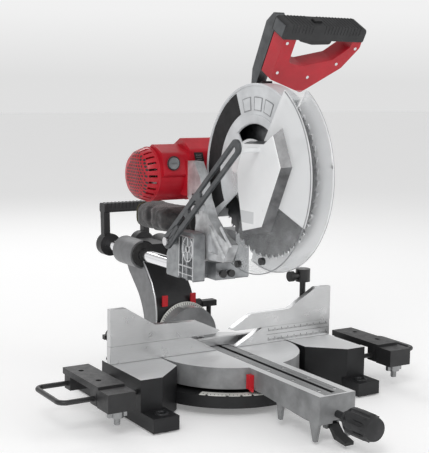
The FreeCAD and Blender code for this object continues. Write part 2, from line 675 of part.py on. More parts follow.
def carriage():
    """Pivot block on the front of the rails, two lugs around the head's barrel."""
    side = [(S.lug_front, S.block_low, 4), (S.lug_front, S.lug_top, 8), (S.lug_back - 18, S.lug_top, 8),
            (S.lug_back + 10, S.pivot_z + 8, 6), (S.lug_back + 26, 262, 6),
            (S.lug_back + 26, S.block_low, 4)]
    left = outline(side, S.lug_left, S.lug_inner - S.lug_left)
    right = outline(side, S.lug_right_in, S.lug_right_out - S.lug_right_in)
    high = S.block_top - S.block_low
    rear = S.pivot_y + 10
    block = Part.makeBox(S.lug_right_in - S.lug_inner, S.lug_back + 24 - rear, high,
                         Vector(S.lug_inner, rear, S.block_low))
    # the front of the block is narrower, so that the neck's plate can swing down beside it
    front = Part.makeBox(S.lug_right_in - S.neck_right - 1, rear - S.lug_front, high,
                         Vector(S.neck_right + 1, S.lug_front, S.block_low))
    shape = left.fuse(right).fuse(block).fuse(front)
    shape = shape.cut(disc("X", 26, S.lug_inner, S.lug_right_in - S.lug_inner, S.pivot_y, S.pivot_z))
    shape = shape.cut(disc("X", S.pin_radius, S.lug_left - 5, 140, S.pivot_y, S.pivot_z))
    for x in (S.rail_left, S.rail_right):
        shape = shape.cut(disc("Y", S.rail_radius, S.rail_front, 200, x, S.rail_z))
    # ribbed pocket on the left face
    pocket = Part.makeBox(7, 52, 80, Vector(S.lug_left - 1, S.lug_front + 6, 222))
    boss = disc("X", 20, S.lug_left - 1, 8, S.pivot_y + 6, S.pivot_z)
    web = Part.makeBox(8, 5, 90, Vector(S.lug_left - 1, S.pivot_y + 4, 218))
    shelf = Part.makeBox(8, 60, 4, Vector(S.lug_left - 1, S.lug_front, 246))
    shape = shape.cut(pocket.cut(boss).cut(web).cut(shelf))
    shape = shape.fuse(disc("X", 7, S.lug_left - 13, 14, S.link_y, S.link_z))
    shape = shape.cut(disc("X", 5 + S.fit, S.lug_right_out - 16, 20, S.stow_y, 284))
    for x in (-30, -12):
        shape = shape.cut(disc("Y", 4, S.lug_front - 1, 20, x, 236))
    return feature("carriage", shape.removeSplitter())


def rear_carry_handle():
    """Yoke on the rail ends with a ribbed grip across the top."""
    start = S.rail_rear - 20
    shape = None
    for x in (S.rail_left, S.rail_right):
        cap = disc("Y", 24, start, 23, x, S.rail_z)
        post = outline([(start + 2, 236), (start + 18, 236), (start + 24, 322), (start + 6, 322)],
                       x - (14 if x < 0 else 0), 14)
        piece = cap.fuse(post)
        shape = piece if shape is None else shape.fuse(piece)
    tie = Part.makeBox(S.rail_right - S.rail_left, 14, 16, Vector(S.rail_left, start + 4, S.rail_z - 8))
    width = S.rail_right - S.rail_left + 28
    grip = outline([(start + 2, 306, 5), (start + 2, 326, 5), (start + 27, 326, 5), (start + 27, 306, 5)],
                   S.rail_left - 14, width)
    shape = shape.fuse(tie).fuse(grip)
    for x in (S.rail_left, S.rail_right):
        shape = shape.cut(disc("Y", S.rail_radius, start - 1, 21, x, S.rail_z))
    return feature("rear_carry_handle", shape.removeSplitter())


def pivot_pins():
    """The head's pivot pin and the shoulder bolt of the guard link."""
    shank = rod("pin_shank", "X", "lug_left + 7", "pivot_y", "pivot_z", "pin_radius",
                "lug_right_out - lug_left + 3")
    head = rod("pin_head", "X", "lug_right_out", "pivot_y", "pivot_z", "pin_radius + 4", "6")
    bolt = rod("link_shank", "X", "link_left - 1", "link_y", "link_z", "5", "link_thick + 2")
    cap = rod("link_cap", "X", "link_left - 4.5", "link_y", "link_z", "8", "4")
    obj = doc.addObject("Part::Compound", "pivot_pins")
    obj.Links = [fuse("head_pin", shank, head), fuse("link_bolt", bolt, cap)]
    return obj


def depth_stop_screws():
    screws = []
    for x in (-30, -12):
        shank = rod("stop_shank", "Y", f"{x}", "lug_front - 12", "236", "4", "30")
        head = rod("stop_head", "Y", f"{x}", "lug_front - 17", "236", "7", "6")
        screws.append(fuse("stop_screw", shank, head))
    obj = doc.addObject("Part::Compound", "depth_stop_screws")
    obj.Links = screws
    return obj


def return_spring():
    """Torsion spring around the pivot pin, between the left lug and the barrel."""
    coils = []
    for i in range(4):
        coil = doc.addObject("Part::Torus", "coil")
        coil.Placement = Placement(Vector(), AXES["X"])
        bind(coil, Radius1="pin_radius + 4", Radius2="1.4")
        put(coil, f"lug_inner + 2.5 + {i} * 2.9", "pivot_y", "pivot_z")
        coils.append(coil)
    obj = doc.addObject("Part::Compound", "return_spring")
    obj.Links = coils
    return obj


def stow_pin():
    shank = rod("stow_shank", "X", "lug_right_out - 14", "stow_y", "284", "5", "24")
    grip = rod("stow_grip", "X", "lug_right_out + 8 + gap", "stow_y", "284", "8", "9")
    return fuse("stow_pin", shank, grip)


def guard_link():
    """Slotted link from the carriage to the lower guard's pin."""
    half, long = S.link_half, S.link_length
    bar = [(-half, -half, half), (long, -half, half), (long, half, half), (-half, half, half)]

    def slab(points):
        wire = rounded([Vector(S.link_left, u, v) for u, v, _ in points],
                       [r * 0.95 for _, _, r in points])
        return Part.Face(wire).extrude(Vector(S.link_thick, 0, 0))

    link = slab(bar)
    slot_start, slot_end = long - 158, long - 14
    slot = slab([(slot_start, -5.5, 5.5), (slot_end, -5.5, 5.5), (slot_end, 5.5, 5.5),
                 (slot_start, 5.5, 5.5)])
    link = link.cut(slot)
    link = link.cut(disc("X", 5 + S.fit, S.link_left - 1, 20, 0, 0))
    for u in (50, 100):
        window = slab([(u, -4, 3.5), (u + 34, -4, 3.5), (u + 34, 4, 3.5), (u, 4, 3.5)])
        link = link.cut(window)
    turn = Rotation(Vector(1, 0, 0), S.link_angle)
    placed = link.copy()
    placed.Placement = Placement(Vector(0, S.link_y, S.link_z), turn)
    return feature("guard_link", placed)


# ---------------------------------------------------------------- head

def neck_casting():
    """Bright casting from the pivot barrel up to the motor."""
    clear = 131
    def near(degrees, radius=clear):
        turn = math.radians(degrees)
        return (S.arbor_y + radius * math.cos(turn), S.arbor_z + radius * math.sin(turn))
    edge = [near(a) for a in (-78, -60, -42, -24, -8)]
    points = [(S.pivot_y + 20, S.pivot_z - 16, 14), (S.pivot_y - 18, S.pivot_z - 18, 10),
              (-76, S.pivot_z - 15, 5)] + edge + [(30, 440), (S.motor_y - 58, 440), (S.motor_y - 58, 372),
                                       (20, 340, 30), (S.pivot_y + 24, 300, 12)]
    slab = outline(points, S.neck_left, S.neck_right - S.neck_left)
    barrel = disc("X", S.barrel_radius, S.neck_left + 12, 3.5 - S.neck_left - 12, S.pivot_y, S.pivot_z)
    spring_room = disc("X", 15.5, S.lug_inner, 14, S.pivot_y, S.pivot_z)
    shape = slab.fuse(barrel).cut(spring_room)
    shape = shape.cut(disc("X", S.pin_radius + S.fit, -90, 120, S.pivot_y, S.pivot_z))
    # lightened web behind the front rim
    hollow = outline([(-62, 277, 5), (-24, 277, 5), (-22, 314, 8), (-44, 314, 8)], S.neck_left - 1, 7)
    lug = Part.makeBox(19, 16, 10, Vector(S.neck_left - 18, S.knob_y - 8, S.knob_seat - 10))
    stud_hole = disc("Z", 4 + S.fit, S.knob_seat - 20, 40, S.neck_left - 10, S.knob_y)
    shape = shape.cut(hollow).fuse(lug.cut(stud_hole))
    return feature("neck_casting", shape.removeSplitter())


def upper_guard():
    """Fixed blade guard: a pan open at the bottom and front, with a half-moon window."""
    y, z, wall = S.arbor_y, S.arbor_z, S.shell
    start, end = -35, 123
    left = sector(S.upper_radius, 30, start, end, S.upper_left, S.upper_left + wall, y, z)
    window = sector(88, 40, 52, 122, S.upper_left - 1, S.upper_left + wall + 1, y, z)
    right = sector(S.upper_radius, 30, start, end, S.upper_right - wall, S.upper_right, y, z)
    rim = sector(S.upper_radius, S.upper_radius - wall, start, end, S.upper_left, S.upper_right, y, z)
    flange = disc("X", S.hub_radius - 6, S.upper_right - wall, wall, y, z)
    flange = flange.cut(disc("X", 14, S.upper_right - 10, 12, y, z))
    shape = left.cut(window).fuse(rim).fuse(right.fuse(flange))
    # embossed pads on the outer face
    for centre in (78, 94, 109):
        shape = shape.fuse(sector(134, 112, centre - 5, centre + 5, S.upper_left - 1,
                                  S.upper_left + 0.5, y, z))
    return feature("upper_guard", shape.removeSplitter())


def belt_case():
    """Gear and belt case on the right of the blade, from the arbor back to the motor."""
    y0, z0, y1, z1 = S.arbor_y, S.arbor_z, S.motor_y, S.motor_z
    wide = S.case_right - S.case_left
    front = disc("X", 46, S.case_left, wide, y0, z0)
    rear = disc("X", S.motor_radius, S.case_left, wide, y1, z1)
    middle = outline([(y0, z0 - 46), (y1, z1 - 51), (y1, z1 + 51), (y0, z0 + 46)], S.case_left, wide)
    shape = front.fuse(rear).fuse(middle)
    hollow = disc("X", 38, S.case_left + 5, wide - 10, y0, z0)
    hollow = hollow.fuse(disc("X", 38, S.case_left + 5, wide - 10, y1, z1))
    hollow = hollow.fuse(outline([(y0, z0 - 38), (y1, z1 - 38), (y1, z1 + 38), (y0, z0 + 38)],
                                 S.case_left + 5, wide - 10))
    shape = shape.cut(hollow)
    hub = disc("X", S.hub_radius - 6, S.upper_right, S.case_left - S.upper_right + 5, y0, z0)
    shape = shape.fuse(hub)
    shape = shape.cut(disc("X", 12 + S.fit, S.upper_right - 1, 14, y0, z0))
    shape = shape.cut(disc("X", 9 + S.fit, S.case_left - 1, 7, y1, z1))
    # mast for the handle arm
    mast = outline([(y0 + 20, z0 + 36), (y0 + 96, z0 + 36), (-40, 576), (-76, 590)],
                   S.case_left + 2, 22)
    shape = shape.fuse(mast.cut(hollow))
    return feature("belt_case", shape.removeSplitter())


def motor_housing():
    y, z = S.motor_y, S.motor_z
    long = S.case_left - S.cap_split
    body = disc("X", S.motor_radius, S.cap_split, long, y, z)
    ridge = outline([(y - 44, z - 8), (y - 57, z + 2, 6), (y - 50, z + 42, 10), (y - 10, z + 58, 10),
                     (y + 20, z + 40)], S.cap_split + 4, long - 4)
    shoulder = outline([(y - 52, z + 8), (y - 56, z + 48, 8), (y - 20, z + 70, 10), (y + 24, z + 46)],
                       -52, S.case_left + 52)
    seat = Part.makeBox(24, 22, 66, Vector(-60, y - 58, z - 38))
    shape = body.fuse(ridge).fuse(shoulder).fuse(seat)
    shape = shape.cut(disc("X", S.motor_radius - 4, S.cap_split - 1, long - 3, y, z))
    shape = shape.cut(disc("Y", 11, y - 60, 30, -88, z + 24))
    shape = shape.cut(disc("X", 9 + S.fit, 0, 30, y, z))
    return feature("motor_housing", shape.removeSplitter())


def motor_end_cap():
    """Slotted fan cover at the free end of the motor."""
    y, z, left, right = S.motor_y, S.motor_z, S.motor_left, S.cap_split
    profile = [(0, left), (24, left), (37, left + 4), (45, left + 12), (49, left + 22),
               (S.motor_radius, right), (S.motor_radius - 4, right), (45, left + 23),
               (41, left + 15), (34, left + 8), (22, left + 4), (0, left + 4)]
    points = [Vector(x, y, z + r) for r, x in profile]
    face = Part.Face(Part.makePolygon(points + points[:1]))
    shape = face.revolve(Vector(0, y, z), Vector(1, 0, 0), 360)
    slots = []
    for i in range(24):
        turn = Rotation(Vector(1, 0, 0), i * 15)
        slot = Part.makeBox(16, 4, 20, Vector(left + 12, -2, 34))
        slot.Placement = Placement(Vector(0, y, z), turn).multiply(slot.Placement)
        slots.append(slot)
    return feature("motor_end_cap", shape.cut(Part.makeCompound(slots)).removeSplitter())


def stator():
    return ring("stator", "X", "cap_split + 14", "motor_y", "motor_z", "motor_radius - 4", "29", "62")


def armature():
    """Motor shaft with its core, commutator, fan and belt pulley."""
    y, z = "motor_y", "motor_z"
    shaft = rod("motor_shaft", "X", "motor_left + 8", y, z, "6", "case_right - motor_left - 16")
    core = rod("motor_core", "X", "cap_split + 14", y, z, "28", "62")
    fan = rod("motor_fan", "X", "cap_split + 86", y, z, "42", "12")
    commutator = rod("commutator", "X", "cap_split - 14", y, z, "16", "22")
    pulley = rod("motor_pulley", "X", "case_left + 8", y, z, "14", "18")
    return fuse("armature", shaft, core, fan, commutator, pulley)


def brush_caps():
    cap = rod("brush_cap", "Y", "-88", "motor_y - 59", "motor_z + 24", "10.9", "9")
    slot = box("brush_slot", "-88 - 7", "motor_y - 60", "motor_z + 23", "14", "3", "2")
    return cut("brush_caps", cap, slot)


def drive_belt():
    """Flat ribbed belt round the two pulleys."""
    y0, z0, y1, z1 = S.arbor_y, S.arbor_z, S.motor_y, S.motor_z
    left, wide = S.case_left + 9, 16
    big, small = 35.5, 14.2
    run = math.hypot(y1 - y0, z1 - z0)
    tilt = math.degrees(math.atan2(z1 - z0, y1 - y0))
    lean = math.degrees(math.asin((big - small) / run))
    def loop(extra):
        first, second = big + extra, small + extra
        def at(cy, cz, radius, degrees):
            turn = math.radians(degrees)
            return Vector(left, cy + radius * math.cos(turn), cz + radius * math.sin(turn))
        up, down = tilt + 90 - lean, tilt - 90 + lean
        edges = [Part.makeLine(at(y0, z0, first, up), at(y1, z1, second, up)),
                 Part.Arc(at(y1, z1, second, up), at(y1, z1, second, tilt),
                          at(y1, z1, second, down)).toShape(),
                 Part.makeLine(at(y1, z1, second, down), at(y0, z0, first, down)),
                 Part.Arc(at(y0, z0, first, down), at(y0, z0, first, tilt + 180),
                          at(y0, z0, first, up)).toShape()]
        return Part.Face(Part.Wire(edges)).extrude(Vector(wide, 0, 0))
    return feature("drive_belt", loop(1.8).cut(loop(0)))


def blade():
    """Toothed blade: a disc with gullets cut round its rim."""
    y, z = S.arbor_y, S.arbor_z
    teeth = 48
    points = []
    for i in range(teeth):
        turn = 2 * math.pi * i / teeth
        step = 2 * math.pi / teeth
        for radius, part in ((S.blade_radius, 0), (S.blade_radius - 2.5, 0.36),
                             (S.blade_radius - 9, 0.66), (S.blade_radius - 9, 0.9)):
            angle = turn + step * part
            points.append(Vector(-S.blade_half, y + radius * math.cos(angle), z + radius * math.sin(angle)))
    disc_face = Part.Face(Part.makePolygon(points + points[:1]))
    shape = disc_face.extrude(Vector(2 * S.blade_half, 0, 0))
    return feature("blade", shape.cut(disc("X", S.bore_radius, -5, 10, y, z)))


def arbor():
    """Arbor shaft, inner and outer flanges, left-hand bolt and the driven pulley."""
    y, z = "arbor_y", "arbor_z"
    shaft = rod("arbor_shaft", "X", "-blade_half - 4", y, z, "bore_radius", "blade_half * 2 + 8")
    stem = rod("arbor_stem", "X", "blade_half + 2", y, z, "12", "case_right - 8 - blade_half")
    inner = rod("inner_flange", "X", "blade_half", y, z, "flange_radius", "3")
    outer = rod("outer_flange", "X", "-blade_half - 5", y, z, "flange_radius", "5")
    bolt = rod("arbor_bolt", "X", "-blade_half - 13", y, z, "9", "9")
    pulley = rod("arbor_pulley", "X", "case_left + 8", y, z, "35", "18")
    return fuse("arbor", shaft, stem, inner, outer, bolt, pulley)


def lower_guard():
    """Clear swinging guard that wraps the front and bottom of the blade."""
    y, z, wall = S.arbor_y, S.arbor_z, S.shell
    start, end = 123, 290
    left = sector(S.lower_radius, 48, start, end, S.lower_left, S.lower_left + wall, y, z)
    right = sector(S.lower_radius, 60, start, end, S.lower_right - wall, S.lower_right, y, z)
    rim = sector(S.lower_radius, S.lower_radius - wall, start, end, S.lower_left, S.lower_right, y, z)
    collar = disc("X", S.hub_radius + 5, S.lower_right - wall, wall, y, z)
    web = disc("X", 62, S.lower_left, wall, y, z)
    shape = left.fuse(web).fuse(rim).fuse(right).fuse(collar)
    shape = shape.cut(disc("X", S.hub_radius - 6 + S.fit, S.lower_right - 10, 20, y, z))
    shape = shape.cut(disc("X", 26, S.lower_left - 5, 12, y, z))
    # end block across the rim, clear of the upper guard it swings over
    block = sector(S.lower_radius - 1, S.upper_radius + 2, start, start + 5,
                   S.lower_left, S.lower_right, y, z)
    return feature("lower_guard", shape.fuse(block).removeSplitter())


def guard_hub_cover():
    """Raised white cover on the guard's left side, with the link pin."""
    rim = [(-96, 436), (-118, 486), (-186, 490), (-216, 513), (-246, 450), (-188, 334), (-118, 320),
           (-102, 396)]
    face = [(-104, 434), (-122, 482), (-184, 484), (-210, 500), (-234, 448), (-182, 344),
            (-124, 330), (-108, 397)]
    room = [(-112, 434), (-126, 476), (-182, 478), (-204, 490), (-226, 447), (-178, 352),
            (-130, 338), (-116, 398)]
    wide = [Vector(S.lower_left, a, b) for a, b in rim]
    narrow = [Vector(S.cover_left, a, b) for a, b in face]
    wires = [Part.makePolygon(wide + wide[:1]), Part.makePolygon(narrow + narrow[:1])]
    cover = Part.makeLoft(wires, True, True)
    hollow = outline(room, S.cover_left + S.shell, S.lower_left - S.cover_left)
    pin_start = S.link_left + S.link_thick + 1.5
    pin = disc("X", 4.5, pin_start, S.cover_left + 1 - pin_start, -171, 474)
    return feature("guard_hub_cover", cover.cut(hollow).fuse(pin).removeSplitter())


def depth_stop_knob():
    stud = rod("knob_stud", "Z", "neck_left - 10", "knob_y", "knob_seat - 16", "4", "30")
    grip = rod("knob_grip", "Z", "neck_left - 10", "knob_y", "knob_seat + gap", "9", "22")
    return fuse("depth_stop_knob", stud, grip)


def dust_boot():
    """Rubber elbow from the rear of the guard back to the bag."""
    body = rod("boot_body", "Y", "-16", "76", "318", "20", "24")
    lip = rod("boot_lip", "Y", "-16", "72", "318", "24", "6")
    return fuse("dust_boot", body, lip)


def dust_bag():
    """Soft bag behind the boot, a plain closed solid."""
    profile = [(100.5, 316), (118, 346), (190, 348), (238, 338), (252, 316), (246, 290), (120, 290)]
    return feature("dust_bag", outline([(a, b, 9) for a, b in profile], -74, 82))


def leaning(name, points, thick, back):
    """A slab with its outline in the handle's leaning plane: points are (x, height up the lean)."""
    turn = math.radians(S.handle_lean)
    up = Vector(0, -math.sin(turn), math.cos(turn))
    out = Vector(0, -math.cos(turn), -math.sin(turn))
    start = Vector(0, -80, 587) - out * back
    corners = [start + Vector(p[0], 0, 0) + up * p[1] for p in points]
    wire = rounded(corners, [p[2] if len(p) > 2 else 0 for p in points])
    return Part.Face(wire).extrude(out * thick)


def handle_body():
    """Red D-shaped body: left post, lower bar and right post round the finger gap."""
    left, right = S.grip_left, S.grip_right
    outer = [(left, 24), (left, 118, 4), (right, 118, 14), (right + 2, 84, 12), (right - 24, 42, 8),
             (left + 74, -10, 8), (left, 16)]
    gap = [(left + 26, 50, 8), (left + 26, 104, 4), (right - 20, 104, 10), (right - 20, 84, 10),
           (right - 50, 58, 10), (left + 60, 44, 10)]
    body = leaning("handle_body", outer, 34, 17).cut(leaning("gap", gap, 60, 30))
    seat = leaning("seat", [(left - 1, 96), (left - 1, 130), (right + 8, 130), (right + 8, 96)], 60, 30)
    return feature("handle_body", body.cut(seat))


def handle_grip():
    """Dark grip bar across the top of the D, with the end cap at its left."""
    left, right = S.grip_left, S.grip_right
    outer = [(left - 6, 96.3, 3), (left - 6, 124, 8), (right + 2, 124, 10), (right + 2, 96.3, 3)]
    grip = leaning("grip", outer, 38, 19)
    pocket = leaning("pocket", [(left + 40, 90), (left + 40, 108), (left + 112, 108),
                                (left + 112, 90)], 16, 8)
    button = leaning("button", [(left + 60, 104), (left + 60, 130), (left + 78, 130),
                                (left + 78, 104)], 12, 6)
    return feature("handle_grip", grip.cut(pocket).cut(button))


def trigger():
    left = S.grip_left
    shape = leaning("trigger", [(left + 41, 88, 3), (left + 41, 101, 2), (left + 111, 101, 2),
                                (left + 111, 84, 6), (left + 70, 82, 10)], 15, 7.5)
    return feature("trigger", shape)


def lock_button():
    left = S.grip_left
    return feature("lock_button", leaning("lock", [(left + 61, 113, 1), (left + 61, 128, 2),
                                                   (left + 77, 128, 2), (left + 77, 113, 1)], 11, 5.5))


def handle_arm():
    """Grey support from the belt case's mast up to the back of the grip."""
    left = S.grip_left
    points = [(-76.2, 590.4), (-40.4, 576.4), (-44, 612), (-86, 696, 6), (-112, 712, 4), (-116, 694)]
    shape = outline(points, left, 20)
    clear = leaning("clear", [(left - 40, -60), (left - 40, 160), (left + 60, 160), (left + 60, -60)],
                    60, 19.2)
    return feature("handle_arm", shape.cut(clear))


BUILDERS = [
    ("base_casting", base_casting), ("miter_scale", miter_scale), ("fixed_fence", fixed_fence),
    ("rubber_feet", rubber_feet),
    ("left_sliding_fence", lambda: sliding_fence(-1)), ("right_sliding_fence", lambda: sliding_fence(1)),
    ("left_fence_knob", lambda: fence_knob(-1)), ("right_fence_knob", lambda: fence_knob(1)),
    ("left_extension_rod", lambda: extension_rod(-1)),
    ("right_extension_rod", lambda: extension_rod(1)),
    ("left_support", lambda: support(-1)), ("right_support", lambda: support(1)),
    ("left_support_screw", lambda: support_screw(-1)),
    ("right_support_screw", lambda: support_screw(1)),
    ("clamp_post", clamp_post), ("clamp_knob", clamp_knob),
    ("turntable", turntable), ("table_arm", table_arm), ("kerf_plate", kerf_plate),
    ("kerf_screws", kerf_screws), ("miter_pointer", miter_pointer), ("bevel_scale", bevel_scale),
    ("miter_knob", miter_knob), ("detent_lever", detent_lever),
    ("bevel_arm", bevel_arm), ("bevel_pointers", bevel_pointers),
    ("linear_bearings", linear_bearings), ("rail_seals", rail_seals),
    ("bevel_pivot_bolt", bevel_pivot_bolt), ("bevel_lock_lever", bevel_lock_lever),
    ("rail_lock_knob", rail_lock_knob),
    ("rails", rails), ("carriage", carriage), ("rear_carry_handle", rear_carry_handle),
    ("pivot_pins", pivot_pins), ("depth_stop_screws", depth_stop_screws),
    ("return_spring", return_spring), ("stow_pin", stow_pin), ("guard_link", guard_link),
    ("neck_casting", neck_casting), ("upper_guard", upper_guard),
    ("belt_case", belt_case), ("motor_housing", motor_housing), ("motor_end_cap", motor_end_cap),
    ("stator", stator), ("armature", armature), ("brush_caps", brush_caps),
    ("drive_belt", drive_belt), ("blade", blade), ("arbor", arbor), ("lower_guard", lower_guard),
    ("guard_hub_cover", guard_hub_cover), ("dust_boot", dust_boot), ("dust_bag", dust_bag),
    ("handle_body", handle_body), ("handle_grip", handle_grip), ("trigger", trigger),
    ("lock_button", lock_button), ("handle_arm", handle_arm),
    ("depth_stop_knob", depth_stop_knob),
]


def check(objects):
    for obj in doc.Objects:
        if "Invalid" in obj.State or "Error" in obj.State:
            raise ValueError(f"{obj.Name} failed: {obj.State}")
    for obj in objects:
        if obj.Shape.isNull() or not obj.Shape.isValid() or not obj.Shape.Solids:
            raise ValueError(f"{obj.Label} has no valid solid")


for label, builder in BUILDERS:
    node(label, builder())
doc.recompute()
check(NODES)
os.makedirs("parts", exist_ok=True)
for piece in NODES:
    piece.Shape.exportStep(os.path.join("parts", piece.Label + ".step"))
    print(f"{piece.Label}: {len(piece.Shape.Solids)} solids")
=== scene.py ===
import math

import bmesh
import bpy
from mathutils import Matrix, Vector, noise


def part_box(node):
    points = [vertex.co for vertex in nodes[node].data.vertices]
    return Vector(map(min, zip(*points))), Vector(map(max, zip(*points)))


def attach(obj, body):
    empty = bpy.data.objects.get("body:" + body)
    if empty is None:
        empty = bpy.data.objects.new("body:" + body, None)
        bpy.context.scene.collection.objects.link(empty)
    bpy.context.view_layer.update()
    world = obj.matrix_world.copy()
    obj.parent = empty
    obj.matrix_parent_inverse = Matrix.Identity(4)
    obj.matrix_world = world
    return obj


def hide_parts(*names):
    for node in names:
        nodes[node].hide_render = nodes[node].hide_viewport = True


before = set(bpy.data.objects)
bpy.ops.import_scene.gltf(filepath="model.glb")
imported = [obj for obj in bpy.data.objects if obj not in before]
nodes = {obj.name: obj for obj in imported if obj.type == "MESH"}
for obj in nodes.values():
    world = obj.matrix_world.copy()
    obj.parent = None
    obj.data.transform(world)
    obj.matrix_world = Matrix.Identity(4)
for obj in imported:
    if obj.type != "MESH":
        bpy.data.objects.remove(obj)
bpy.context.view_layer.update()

mm = 0.001


class Wire:
    # a shader value that takes part in arithmetic
    def __init__(self, paint, source):
        self.paint = paint
        self.source = source

    def maths(self, operation, first, second):
        return self.paint.add("ShaderNodeMath", {"operation": operation}, {0: first, 1: second})

    def __add__(self, other):
        return self.maths("ADD", self, other)

    def __sub__(self, other):
        return self.maths("SUBTRACT", self, other)

    def __rsub__(self, other):
        return self.maths("SUBTRACT", other, self)

    def __mul__(self, other):
        return self.maths("MULTIPLY", self, other)

    def __gt__(self, other):
        return self.maths("GREATER_THAN", self, other)

    def __lt__(self, other):
        return self.maths("LESS_THAN", self, other)

    def __pow__(self, other):
        return self.maths("POWER", self, other)

    __radd__ = __add__
    __rmul__ = __mul__

    def wave(self):
        return self.maths("SINE", self, 0)


class Paint:
    # one material with a Principled shader, built node by node
    def __init__(self, name):
        self.material = bpy.data.materials.new(name)
        self.material.use_nodes = True
        self.tree = self.material.node_tree
        self.shader = self.tree.nodes["Principled BSDF"]

    def add(self, kind, settings, inputs, output=0):
        node = self.tree.nodes.new(kind)
        for key, value in settings.items():
            setattr(node, key, value)
        for key, value in inputs.items():
            self.feed(node.inputs[key], value)
        return Wire(self, node.outputs[output])

    def feed(self, socket, value):
        if isinstance(value, Wire):
            self.tree.links.new(value.source, socket)
        elif isinstance(value, tuple) and len(value) == 3 and socket.type == "RGBA":
            socket.default_value = (*value, 1)
        else:
            socket.default_value = value

    def set(self, **values):
        for key, value in values.items():
            self.feed(self.shader.inputs[key.replace("_", " ")], value)
        return self

    def place(self):
        return self.add("ShaderNodeTexCoord", {}, {}, "Object")

    def split(self, vector):
        return [self.add("ShaderNodeSeparateXYZ", {}, {0: vector}, axis) for axis in "XYZ"]

    def facing(self):
        return self.add("ShaderNodeNewGeometry", {}, {}, "Normal")

    def grain(self, size, detail=3.0, stretch=(1, 1, 1), rough=0.55):
        spread = self.add("ShaderNodeMapping", {}, {"Vector": self.place(), "Scale": stretch})
        return self.add("ShaderNodeTexNoise", {},
                        {"Vector": spread, "Scale": 1 / size, "Detail": detail, "Roughness": rough}, "Fac")

    def range(self, wire, low, high, start=0.0, end=1.0):
        return self.add("ShaderNodeMapRange", {}, {"Value": wire, "From Min": start, "From Max": end,
                                                   "To Min": low, "To Max": high})

    def blend(self, factor, first, second):
        return self.add("ShaderNodeMix", {"data_type": "RGBA"}, {0: factor, 6: first, 7: second}, 2)

    def bump(self, height, strength, depth=0.0005):
        return self.set(Normal=self.add("ShaderNodeBump", {}, {
            "Height": height, "Strength": strength, "Distance": depth}, "Normal"))


def mouldedPlastic(name, colour, rough, grainSize=0.0006, bump=0.12, coat=0.0):
    # moulded shell: faint blotches in the colour, fine texture, a little wear in the gloss
    paint = Paint(name)
    blotch = paint.grain(0.05, 4)
    fine = paint.grain(grainSize, 2)
    dark = tuple(c * 0.82 for c in colour)
    light = tuple(min(1, c * 1.12 + 0.004) for c in colour)
    paint.set(Base_Color=paint.blend(paint.range(blotch, 0, 1, 0.3, 0.7), dark, light))
    paint.set(Roughness=paint.range(paint.grain(0.012, 4), rough - 0.06, rough + 0.08, 0.3, 0.7))
    paint.set(Coat_Weight=coat, Coat_Roughness=0.15, Specular_IOR_Level=0.5)
    paint.bump(fine, bump, 0.0003)
    return paint.material


def castMetal(name, colour, rough, metal=0.7, pit=0.0009, bump=0.3):
    # sand-cast and blasted: pitted, with soft mottling
    paint = Paint(name)
    mottle = paint.grain(0.02, 5)
    pits = paint.grain(pit, 3, rough=0.65)
    dark = tuple(c * 0.75 for c in colour)
    light = tuple(min(1, c * 1.15) for c in colour)
    paint.set(Base_Color=paint.blend(paint.range(mottle, 0, 1, 0.35, 0.65), dark, light))
    paint.set(Roughness=paint.range(pits, rough - 0.08, rough + 0.1, 0.3, 0.7), Metallic=metal)
    paint.bump(pits, bump, 0.0004)
    return paint.material


milling = {"flatness": 0.96, "wallMetal": 0.25, "topMetal": 0.92, "topRough": 0.36}


def machinedTop(name, wall, top, level, wallRough=0.5):
    # painted casting whose upward faces are milled bright, with faint cutter marks
    paint = Paint(name)
    up = paint.split(paint.facing())[2]
    height = paint.split(paint.place())[2]
    bare = (up > milling["flatness"]) * (height > level)
    streak = paint.grain(0.0016, 2, (0.06, 1, 1))
    pits = paint.grain(0.0009, 3)
    topTone = paint.blend(streak, tuple(c * 0.88 for c in top), top)
    mottle = paint.grain(0.03, 4)
    wallTone = paint.blend(paint.range(mottle, 0, 1, 0.35, 0.65), tuple(c * 0.7 for c in wall), wall)
    paint.set(Base_Color=paint.blend(bare, wallTone, topTone))
    paint.set(Metallic=paint.range(bare, milling["wallMetal"], milling["topMetal"]),
              Roughness=paint.range(bare, wallRough, milling["topRough"]))
    paint.bump(pits * (1 - bare) + streak * bare * 0.3, 0.22, 0.0004)
    return paint.material


def brushedMetal(name, colour, along, rough=0.32, bump=0.08, metal=1.0):
    # drawn or brushed metal, its streaks long in one direction
    paint = Paint(name)
    streak = paint.grain(0.0007, 3, along)
    broad = paint.grain(0.03, 3)
    tone = paint.blend(streak, tuple(c * 0.8 for c in colour), colour)
    paint.set(Base_Color=tone, Metallic=metal)
    paint.set(Roughness=paint.range(broad, rough - 0.1, rough + 0.1, 0.3, 0.7))
    paint.bump(streak, bump, 0.0002)
    return paint.material


def polishedSteel(name, colour, rough):
    paint = Paint(name)
    smear = paint.grain(0.02, 4)
    paint.set(Base_Color=paint.blend(smear, tuple(c * 0.9 for c in colour), colour), Metallic=1.0)
    paint.set(Roughness=paint.range(smear, rough * 0.6, rough * 1.6, 0.3, 0.7))
    paint.bump(paint.grain(0.0012, 2, (1, 0.05, 1)), 0.02, 0.0001)
    return paint.material


grinding = {"ringTurns": 5200, "carbide": 0.004}  # radians to the metre, depth of the tips in metres


